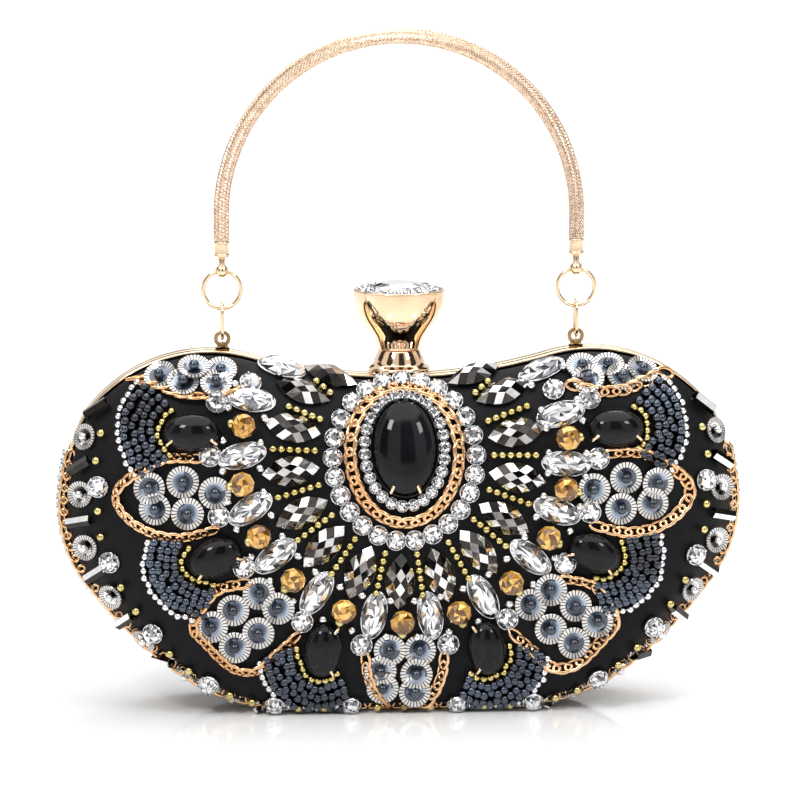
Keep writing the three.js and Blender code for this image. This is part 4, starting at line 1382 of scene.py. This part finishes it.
MARQUISE_REACH = (34.4, 37.5)  # half width and half height of the ring of dark marquises
MARQUISE_ANGLES = [42, 28, 10, -10, -30, -50, -72, -92.5, -113, -135, -154, -174, 167, 151, 137]
NAVETTE_REACH = 48.7
NAVETTE_ANGLES = [29, 14, -3, -20, -39, -61, -81, -101, -123, -143, -162, -181, -200, -214]
CHATON_REACH = 58.3
CHATON_ANGLES = [16, -1, -17, -34, -58, -77, -103, -122, -146, -163, -181, -196]
UPPER_CHATONS = [(45.6, 97.0), (-46.0, 99.5)]
MARQUISE = (8.7, 4.5, 3.6)  # half length, half width and height
NAVETTE = (7.4, 3.9, 3.3)
STRING_START = (27.0, 29.5)  # half width and half height of the ring where the strings of gold beads begin
STRING_PITCH = 2.5
STRING_TOP = 99  # height that no string passes, under the rim
WIDE_GAP = 17  # degrees between two marquises above which a string has six beads
SIDE_BEADS = ((-5.2, 4.6), (-5.2, -4.6), (6.0, 4.8), (6.0, -4.8))  # past the navettes' reach, degrees aside


def around(reach, degrees):
    """A point at a reach and a bearing from the middle of the spray."""
    wide, high = reach if isinstance(reach, tuple) else (reach, reach)
    a = math.radians(degrees)
    return SPRAY[0] + wide * math.cos(a), SPRAY[1] + high * math.sin(a)


def spray():
    """Dark marquises, then clear navettes with amber beads between, then chatons, with strings of beads."""
    marquises = Pile("dark_marquises", HEMATITE)
    navettes = Pile("clear_navettes", CRYSTAL)
    navette_seats = Pile("navette_seats", SILVER)
    ambers = Pile("amber_beads", AMBER)
    strings = Pile("gold_bead_strings", BEAD_GOLD)
    silvers = Pile("silver_beads", SILVER)
    chatons = Pile("clear_chatons", CRYSTAL)
    chaton_cups = Pile("chaton_cups", SILVER)
    gold_bead, silver_bead = ball(1.2, 12, 8), ball(1.3, 12, 8)
    for degrees in MARQUISE_ANGLES:
        x, z = around(MARQUISE_REACH, degrees)
        marquises.add(checker_stone(*MARQUISE), seat(x, z, degrees, 0.3))
    for a, b in zip(MARQUISE_ANGLES, MARQUISE_ANGLES[1:]):
        b = b - 360 if b > a else b
        bearing = (a + b) / 2
        for k in range(6 if abs(a - b) > WIDE_GAP else 5):
            x, z = around(tuple(start + STRING_PITCH * k for start in STRING_START), bearing)
            if z < STRING_TOP:
                strings.add(gold_bead, seat(x, z, bearing))
    rim_mould = mould(turned([(AXIS, 0), (1.0, 0), (1.03, 0.9), (0.97, 0.9), (0.9, 0.2), (AXIS, 0.2)], 28))
    rim_mould = (rim_mould[0] * [7.4, 3.8, 1], rim_mould[1], rim_mould[2])
    for degrees in NAVETTE_ANGLES:
        x, z = around(NAVETTE_REACH, degrees)
        turn = degrees + (14 if degrees < -150 else 0)
        navettes.add(pointed_stone(*NAVETTE), seat(x, z, turn, 0.5))
        navette_seats.add(rim_mould, seat(x, z, turn))
    for a, b in zip(NAVETTE_ANGLES, NAVETTE_ANGLES[1:]):
        bearing = (a + b) / 2
        outermost = a == NAVETTE_ANGLES[0] or b == NAVETTE_ANGLES[-1]
        if not outermost:
            x, z = around(NAVETTE_REACH + 0.8, bearing)
            ambers.add(cut_bead(3.8), seat(x, z, bearing))
            x, z = around(NAVETTE_REACH + 4.4, bearing)
            strings.add(ball(1.4, 12, 8), seat(x, z, bearing, 2.2))
        for past, aside in SIDE_BEADS:
            x, z = around(NAVETTE_REACH + past, bearing + aside)
            silvers.add(silver_bead, seat(x, z))
    places = [around(CHATON_REACH, degrees) for degrees in CHATON_ANGLES] + UPPER_CHATONS
    cup = claw_cup(3.1, 3.2)
    for x, z in places:
        spin = random.uniform(0, 90)
        chatons.add(shifted(round_stone(3.05, 2.7, 12), (0, 0, 1.1)), seat(x, z, spin))
        chaton_cups.add(cup, seat(x, z, spin))
    for pile in (marquises, navettes, navette_seats, ambers, strings, silvers, chatons, chaton_cups):
        pile.make()


spray()


# ---- Crescents of seed beads ----

# The bearing that each crescent's middle has from its stone, and how far it reaches to each side.
CRESCENTS = {"upper": (2, 42), "side": (-32, 48), "lower": (-62, 52)}
ROW_START = 1.8  # the first row's distance from its stone
ROW_PITCH = 2.3
SEED_ROWS = 6
ROW_POINTS = 60
SEED_PITCH = 2.15
SEED_SPIN, SEED_ROLL, SEED_LIFT = 14, 25, 0.3  # how unevenly the seed beads lie, in degrees and millimetres
REACH_START, REACH_LOSS = 1.25, 0.05  # share of the reach in the first row, and what each next row loses


def crescents():
    """Rows of seed beads round the outer side of each oval stone, gold first and silver last."""
    seeds = Pile("dark_seed_beads", SEED_GLASS)
    golds = Pile("crescent_gold_beads", BEAD_GOLD)
    pearls = Pile("crescent_silver_beads", SILVER)
    seed, gold_bead, pearl = drilled_bead(1.5), ball(1.2, 10, 7), ball(1.15, 10, 7)
    for label, (middle_way, reach) in CRESCENTS.items():
        x0, z0, tilt = CABOCHONS[label]
        for end in (-1, 1):
            for row in range(SEED_ROWS):
                half_long, half_short = (half + ROW_START + ROW_PITCH * row for half in CABOCHON_HALF)
                to_side = reach * (REACH_START - REACH_LOSS * row)
                centre_way = middle_way + tilt
                bearings = np.radians(np.linspace(centre_way - to_side, centre_way + to_side, ROW_POINTS))
                local = np.column_stack([half_long * np.cos(bearings), half_short * np.sin(bearings)])
                c, s = math.cos(math.radians(-tilt)), math.sin(math.radians(-tilt))
                route = np.column_stack([
                    end * (x0 + local[:, 0] * c - local[:, 1] * s), z0 + local[:, 0] * s + local[:, 1] * c,
                ])
                pile, bead = [(golds, gold_bead), (seeds, seed)][min(row, 1)]
                if row == SEED_ROWS - 1:
                    pile, bead = pearls, pearl
                for stop in spaced(route, SEED_PITCH):
                    here, level = on_route(route, stop)
                    spin = level + random.uniform(-SEED_SPIN, SEED_SPIN)
                    turn, point = seat(*here, spin, random.uniform(0, SEED_LIFT))
                    pile.add(bead, (turn @ turn_about(0, random.uniform(-SEED_ROLL, SEED_ROLL)), point))
    for pile in (seeds, golds, pearls):
        pile.make()


crescents()


# ---- Cup sequins and the chains round them ----

SEQUIN_CLUSTERS = {
    "top": [(54.5, 103.2), (56, 99.8), (62.5, 103.6), (66, 100.2), (72.5, 101.6)],
    "mid": [(57, 68.5), (66.5, 71.8), (76, 70), (65, 62.5), (74.5, 63.8)],
    "low": [(44, 38), (38, 33.5), (51.5, 33), (58, 28), (44, 26), (51, 21.5)],
}
BASE_SEQUINS = [(-4.6, 20.3), (4.6, 19.9), (-7.4, 13.8), (3.6, 12.7), (-6.6, 8.2), (3.0, 7.0)]
CHAIN_ROUTES = {
    "top": [(52, 98.2), (58.5, 96.6), (66, 96.8), (73, 98.8), (79.5, 100.4)],
    "mid": [(62.5, 79), (71, 78.8), (78, 75.5), (84.5, 70.5), (85.8, 65.5), (81.8, 60), (75, 56.3),
            (67, 55.2), (58.5, 57)],
    "low": [(49, 41), (56, 39.4), (61, 34), (63.3, 27.6), (59, 21.7), (52, 15), (45, 14), (39.2, 18.9),
            (33.6, 23.9)],
    "base": [(11.8, 17), (11.2, 12.5), (9.4, 7.8), (7.2, 4.4)],
}
SEQUIN_RADIUS = 4.9
SEQUIN_STEP = 0.35  # in height, between neighbours that overlap
SEQUIN_TIP = 7  # degrees


def sequins():
    """Cup sequins with a bead in each, and the curb chains laid round their groups."""
    rims = Pile("sequin_rims", SEQUIN)
    dishes = Pile("sequin_dishes", SEQUIN_GLASS)
    pips = Pile("sequin_pips", SEED_GLASS)
    chain = Pile("petal_curb_chains", ROSE_GOLD)
    rim_mould, dish, pip = notched_rim(SEQUIN_RADIUS, 3.2), glass_dish(3.25), ball(1.7, 12, 8)
    link = curb_link(*PETAL_LINK)
    spots = [(end * x, z) for end in (-1, 1) for cluster in SEQUIN_CLUSTERS.values() for x, z in cluster]
    for i, (x, z) in enumerate(spots + BASE_SEQUINS):
        turn, point = seat(x, z, random.uniform(0, 360), SEQUIN_STEP * (i % 3))
        tip = turn @ turn_about(0, random.uniform(-SEQUIN_TIP, SEQUIN_TIP))
        tip = tip @ turn_about(1, random.uniform(-SEQUIN_TIP, SEQUIN_TIP))
        for pile, piece in ((rims, rim_mould), (dishes, dish), (pips, shifted(pip, (0, 0, 0.1)))):
            pile.add(piece, (tip, point))
    for end in (-1, 1):
        for route in CHAIN_ROUTES.values():
            line = eased(np.array(route) * [end, 1])
            for stop in spaced(line, PETAL_LINK_PITCH):
                here, level = on_route(line, stop)
                chain.add(link, seat(*here, level))
    for pile in (rims, dishes, pips, chain):
        pile.make()


sequins()


# ---- The band along the edge: bugles, sequins, crystals and gold beads ----

BAND_PLACE = (1.9, 2.9)  # along the cover's profile: at the band's upper end, and from its third piece down
INNER_PLACE = 1.35  # how much further in the gold beads and crystals lie
BAND_TOP = 44  # degrees round the end where the band begins
BAND_STEP = 4.0
BUGLE_TURNS = [-70, -40, -8, -12, -5, 27, 0]  # from the way that runs across the band, from the top down


BAND_CLIMB = 0.9  # how much further along the profile the band lies at the base
BAND_LIFT = 0.5
FACING = 0.75  # weight of the front in the band's facing
BAND_EASE = 6  # pieces over which the band reaches its full place and facing
BUGLE_EVERY, STONE_EVERY = 4, 6  # places from one bugle bead, or one crystal of the inner row, to the next


def band_place(station, share, inner=0.0):
    """A place in the band, propped on its outer edge to look more towards the front, except at the base."""
    climb = base_climb(OUTLINE[int(station) % len(OUTLINE), DEGREES])
    turn, point = edge_place(station, BAND_PLACE[0] + np.ptp(BAND_PLACE) * share + inner + BAND_CLIMB * climb)
    turn = framed(turn[:, 0], turn[:, 2] + np.array([0, -FACING * share * (1 - climb), 0]))
    return turn, point + turn[:, 2] * BAND_LIFT


def edge_band():
    """Bugle beads and sequins in turn along the edge, with beads and crystals further in."""
    rims = Pile("band_sequin_rims", SEQUIN)
    dishes = Pile("band_sequin_dishes", HEMATITE)
    silvers = Pile("band_silver_beads", SILVER)
    bugles = Pile("bugle_beads", HEMATITE)
    golds = Pile("band_gold_beads", BEAD_GOLD)
    stones = Pile("band_crystals", CRYSTAL)
    cups = Pile("band_cups", SILVER)
    rim_mould, dish, pip = notched_rim(4.0, 2.5), glass_dish(2.55), ball(1.25, 10, 7)
    tube_bead, gold_bead, cup = bugle(8.0, 1.75), ball(1.3, 12, 8), claw_cup(3.0, 3.1)
    first = int(np.argmax(OUTLINE[:, DEGREES] <= BAND_TOP))
    half = len(OUTLINE) // 2
    ring = dome_ring(profile_at(FRONT_PROFILE, BAND_PLACE[1]), -1)[first: half + 1]
    for k, stop in enumerate(first + spaced(ring, BAND_STEP)):
        share = min(k / BAND_EASE, 1.0)
        for end in (-1, 1):
            station = stop if end > 0 else len(OUTLINE) - stop
            if k % 2:
                place = band_place(station, share, INNER_PLACE)
                if (k + 1) % STONE_EVERY:
                    golds.add(gold_bead, place)
                else:
                    stones.add(shifted(round_stone(2.9, 2.6, 12), (0, 0, 1.1)), place)
                    cups.add(cup, place)
                continue
            turn, point = band_place(station, share)
            if k % BUGLE_EVERY == 0:
                lean_by = BUGLE_TURNS[min(k // BUGLE_EVERY, len(BUGLE_TURNS) - 1)]
                bugles.add(tube_bead, (turn @ turn_about(2, 90 + end * lean_by), point))
            else:
                spun = (turn @ turn_about(2, random.uniform(0, 90)), point)
                rims.add(rim_mould, spun, 0.9)
                dishes.add(dish, spun)
                silvers.add(shifted(pip, (0, 0, 0.6)), spun)
    for pile in (rims, dishes, silvers, bugles, golds, stones, cups):
        pile.make()


edge_band()


# ---- Clasp ----

def lathe_piece(name, profile, centre, body, material, node, sides):
    """A turned piece that stands at a centre, in place of a CAD node."""
    verts, faces = turned(profile, sides)
    piece = make_piece(name, verts + [*centre, 0], faces, body, material)
    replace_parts(piece, node)


FOOT_ROUNDING = 0.6
# Rows of pave crystals: distance from the middle, stone's radius, height over the ring, how many, and tilt.
PAVE_ROWS = ((10.4, 0.95, 1.05, 30, 0), (12.15, 0.98, 0.75, 36, 28))
PAVE_HEIGHT = 1.0


def clasp():
    """The bell-shaped foot, the flared cup, the ring of pave crystals and the large stone."""
    low, high = corners("clasp_cup")
    x0, y0 = 0.0, (low[1] + high[1]) / 2
    foot_low, foot_high = corners("clasp_foot")
    reach = foot_high[0]
    bell = [(reach - 0.3, 0), (reach, 0.4), (reach, 1.2), (reach - 0.5, 1.7), (reach - 1.6, 2.5),
            (7.4, 4.0), (6.9, 5.2), (6.2, 6.7), (4.6, 8.6)]
    foot = [(AXIS, foot_low[2]), *((r, foot_low[2] + z) for r, z in bell), (2.4, foot_high[2] - 0.3),
            (AXIS, foot_high[2])]
    lathe_piece("clasp_foot_polished", rounded(foot, FOOT_ROUNDING), (x0, y0), "front_half", KNOB_GOLD,
                "clasp_foot", 64)
    base, top, wide = low[2], high[2], high[0]
    rise = top - base
    outside = [(6.4, 0.0), (6.6, 0.05), (7.6, 0.19), (9.7, 0.35), (11.6, 0.5), (12.8, 0.64), (13.6, 0.8),
               (wide, 0.93), (wide, 1.0)]
    inside = [(AXIS, base + 3.7), (3.0, base + 3.1), (5.2, base + 1.6), (6.3, base)]
    cup = inside + [tuple(p) for p in eased(np.array([(r, base + rise * t) for r, t in outside]), 5)]
    cup += [(wide - 0.25, top + 0.15), (wide - 0.7, top), (wide - 0.7, top - 1.0), (AXIS, top - 1.0)]
    lathe_piece("clasp_cup_polished", cup, (x0, y0), "clasp_knob", KNOB_GOLD, "clasp_cup", 96)
    ring_low, ring_high = corners("clasp_pave")
    outer, inner = ring_high[0], corners("clasp_stone")[1][0] + 0.3
    seat_ring = [(inner, ring_low[2]), (outer, ring_low[2]), (outer, ring_low[2] + 0.8),
                 ((inner + outer) / 2, ring_low[2] + 1.3), (inner, ring_low[2] + 1.2)]
    verts, faces = turned(seat_ring, 64, looped=True)
    make_piece("pave_seat", verts + [x0, y0, 0], faces, "clasp_knob", SILVER)
    pave = Pile("pave_crystals", CRYSTAL, "clasp_knob")
    for radius, size, height, count, tilt in PAVE_ROWS:
        for i in range(count):
            spin = 360 * (i + (0.5 if tilt else 0)) / count
            turn = turn_about(2, spin) @ turn_about(1, tilt)
            point = turn_about(2, spin) @ np.array([radius, 0, ring_low[2] + height]) + [x0, y0, 0]
            pave.add(round_stone(size, PAVE_HEIGHT, 8), (turn, point))
    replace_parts(pave.make(), "clasp_pave")
    knob_stone(x0, y0)


KNOB_SIDES = 16
TABLE_SHADE, TABLE_CHANGE = 0.5, 0.08  # painted reflection of the facets that make up the stone's flat top, and how much it changes


def knob_stone(x0, y0):
    """The large clear stone: a broad table with two tiers of facets falling away from it."""
    low, high = corners("clasp_stone")
    reach, base, top = high[0], low[2], high[2]
    rings = [
        ring_points(reach - 0.4, reach - 0.4, base, KNOB_SIDES),
        ring_points(reach, reach, base + 0.9, KNOB_SIDES, 0.5),
        ring_points(reach * 0.84, reach * 0.84, base + 2.1, KNOB_SIDES),
        ring_points(reach * 0.64, reach * 0.64, top, KNOB_SIDES, 0.5),
    ]
    verts, faces, shades = faceted(rings, [0, 0, top], base, 0.5)
    # The table's facets get an even, gently changing painted reflection in place of the scattered ones.
    for i in range(len(faces) - 2 * KNOB_SIDES, len(faces) - KNOB_SIDES):
        shades[i] = TABLE_SHADE + TABLE_CHANGE * math.sin(i)
    pile = Pile("clasp_stone_cut", CRYSTAL, "clasp_knob")
    pile.add((verts, faces, shades), (np.eye(3), np.array([x0, y0, 0])))
    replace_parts(pile.make(), "clasp_stone")


clasp()


# ---- Handle and the hardware it hangs on ----

def tab(end, side_name):
    """A keyhole tab: a strip that ends in an eyelet."""
    low, high = corners(f"handle_tab_{side_name}")
    x, half = (low[0] + high[0]) / 2, (high[1] - low[1]) / 2
    eyelet_z = high[2] - 2.5
    eyelet = turned([(1.4, -half * 0.8), (1.55, -half), (2.3, -half), (2.5, -half * 0.6), (2.5, half * 0.6),
                     (2.3, half), (1.55, half), (1.4, half * 0.8)], 40, looped=True)
    eyelet = (eyelet[0] @ turn_about(0, 90).T + [x, TAB_Y, eyelet_z], eyelet[1])
    rows = []
    for z, wide in ((low[2], 2.1), (low[2] + 3.2, 2.1), (low[2] + 3.6, 2.15), (eyelet_z - 3.2, 2.0),
                    (eyelet_z - 1.9, 1.55)):
        rows.append([[x - wide, TAB_Y - half, z], [x + wide, TAB_Y - half, z],
                     [x + wide, TAB_Y + half, z], [x - wide, TAB_Y + half, z]])
    plate = mould(loft(rows))
    rivet = mould(turned([(AXIS, 0), (0.9, 0), (0.8, 0.3), (0.45, 0.5), (AXIS, 0.55)], 20))
    rivet = shifted(rivet, (x, TAB_Y - half, low[2] + 4.6), turn_about(0, 90))
    verts, faces, _ = merged(mould(eyelet), plate, rivet)
    piece = make_piece(f"keyhole_tab_{side_name}", verts, faces, "front_half", ANTIQUE_GOLD)
    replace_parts(piece, f"handle_tab_{side_name}")


def link_and_ring(side_name):
    """An oval wire link and the round wire ring that hangs in it."""
    low, high = corners(f"oval_link_{side_name}")
    x, wire = (low[0] + high[0]) / 2, 0.5
    half_width = (high[1] - low[1]) / 2 - wire
    ends = (high[2] - wire - half_width, low[2] + wire + half_width)
    route = []
    for centre_z, start in ((ends[0], 0.0), (ends[1], math.pi)):
        for a in np.linspace(start, start + math.pi, 17):
            route.append([x, TAB_Y + half_width * math.cos(a), centre_z + half_width * math.sin(a)])
    verts, faces = tube(route, wire, 14, looped=True, normal=(1, 0, 0))
    piece = make_piece(f"oval_link_wire_{side_name}", verts, faces, "links", PALE_GOLD)
    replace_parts(piece, f"oval_link_{side_name}")
    low, high = corners(f"round_ring_{side_name}")
    thick = (high[1] - low[1]) / 2 * 1.12
    radius = (high[0] - low[0]) / 2 - thick
    angle = 2 * math.pi * np.arange(56) / 56
    up = (low[2] + high[2]) / 2 + radius * np.sin(angle)
    route = np.column_stack([x + radius * np.cos(angle), np.full(56, TAB_Y), up])
    verts, faces = tube(route, thick, 14, looped=True)
    piece = make_piece(f"round_ring_wire_{side_name}", verts, faces, "rings", PALE_GOLD)
    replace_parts(piece, f"round_ring_{side_name}")


def handle_ends(side_name):
    """A ball end with its neck, and the ferrule above it."""
    low, high = corners(f"ball_end_{side_name}")
    x, reach = (low[0] + high[0]) / 2, 2.0
    ball_z = low[2] + reach
    profile = [(AXIS, low[2])]
    profile += [(reach * math.sin(t), ball_z - reach * math.cos(t)) for t in np.linspace(0.15, 2.6, 14)]
    profile += [(1.0, ball_z + reach * 0.95), (1.0, high[2]), (AXIS, high[2])]
    lathe_piece(f"ball_end_polished_{side_name}", profile, (x, TAB_Y), "handle", PALE_GOLD,
                f"ball_end_{side_name}", 32)
    low, high = corners(f"ferrule_{side_name}")
    r, base, top = high[0] - x, low[2], high[2]
    profile = [(AXIS, base), (r - 0.5, base), (r + 0.25, base + 0.3), (r + 0.25, base + 0.9), (r, base + 1.1),
               (r, top - 1.1), (r + 0.25, top - 0.9), (r + 0.25, top - 0.3), (r, top), (AXIS, top)]
    lathe_piece(f"ferrule_polished_{side_name}", rounded(profile, 0.2), (x, TAB_Y), "handle", PALE_GOLD,
                f"ferrule_{side_name}", 40)


SCALES_ROUND = 16
SCALE_ROW = 0.5
SCALE_HALF = (0.62, 0.43)  # along and round the handle
SCALE_RISE = 0.2
MESH_SKIN = 0.16  # how far the scales' edges lie inside the handle's radius
SPIRAL = 0.06  # share of a scale that each row turns by


def handle_route():
    """The handle's centre line and its length, up one leg, over the arch and down the other."""
    low, high = corners("handle_tube")
    radius = (high[1] - low[1]) / 2 * 1.02
    span = high[0] - radius
    arch_z = high[2] - radius - span
    leg = arch_z - low[2]
    length = 2 * leg + math.pi * span

    def at(distance):
        if distance < leg:
            return np.array([-span, TAB_Y, low[2] + distance]), np.array([0, 0, 1.0])
        if distance > length - leg:
            return np.array([span, TAB_Y, low[2] + length - distance]), np.array([0, 0, -1.0])
        a = math.pi - (distance - leg) / span
        point = np.array([span * math.cos(a), TAB_Y, arch_z + span * math.sin(a)])
        return point, np.array([math.sin(a), 0, -math.cos(a)])

    return at, length, radius


def handle():
    """The handle's core and the scales of the woven mesh over it."""
    at, length, radius = handle_route()
    stops = [at(d)[0] for d in np.linspace(0, length, 200)]
    verts, faces = tube(stops, radius - MESH_SKIN - 0.1, 16)
    core = make_piece("handle_core", verts, faces, "handle", STEEL)
    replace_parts(core, "handle_tube")
    scales = Pile("handle_mesh", MESH_GOLD, "handle")
    rows = int(length / SCALE_ROW)
    for row in range(rows):
        centre, along = at((row + 0.5) * length / rows)
        front = np.array([0, -1.0, 0])
        side_way = np.cross(along, front)
        for k in range(SCALES_ROUND):
            angle = 2 * math.pi * (k + 0.5 * (row % 2) + SPIRAL * row) / SCALES_ROUND
            out = front * math.cos(angle) + side_way * math.sin(angle)
            round_way = -front * math.sin(angle) + side_way * math.cos(angle)
            skin = centre + out * (radius - MESH_SKIN)
            corners_here = np.array([
                skin + along * SCALE_HALF[0], skin + round_way * SCALE_HALF[1] - out * 0.02,
                skin - along * SCALE_HALF[0], skin - round_way * SCALE_HALF[1] - out * 0.02,
                skin + out * SCALE_RISE + along * 0.12, skin - out * 0.15,
            ])
            faces = [(0, 1, 4), (1, 2, 4), (2, 3, 4), (3, 0, 4), (1, 0, 5), (2, 1, 5), (3, 2, 5), (0, 3, 5)]
            # Each scale has its own random tone. Its upper faces are painted lighter or darker by the way they
            # face, as painted light, and its underside is painted dark as shade.
            tone = random.uniform(0.6, 1.0)
            scales.add((corners_here, faces, [tone, tone * 0.75, tone * 0.85, tone, 0.1, 0.1, 0.1, 0.1]),
                       (np.eye(3), np.zeros(3)))
    scales.make()


for end, side_name in ((-1, "left"), (1, "right")):
    tab(end, side_name)
    link_and_ring(side_name)
    handle_ends(side_name)
handle()


# ---- Materials for the CAD pieces that stay ----

STAYING = {
    "front_knuckle_left": PALE_GOLD, "front_knuckle_right": PALE_GOLD,
    "rear_knuckle_left": PALE_GOLD, "rear_knuckle_right": PALE_GOLD,
    "hinge_pin_left": STEEL, "hinge_pin_right": STEEL,
    "latch_arm": STEEL, "latch_pin": STEEL, "catch_plate": STEEL,
}
for node, material in STAYING.items():
    for slot in nodes[node].material_slots:
        slot.material = material
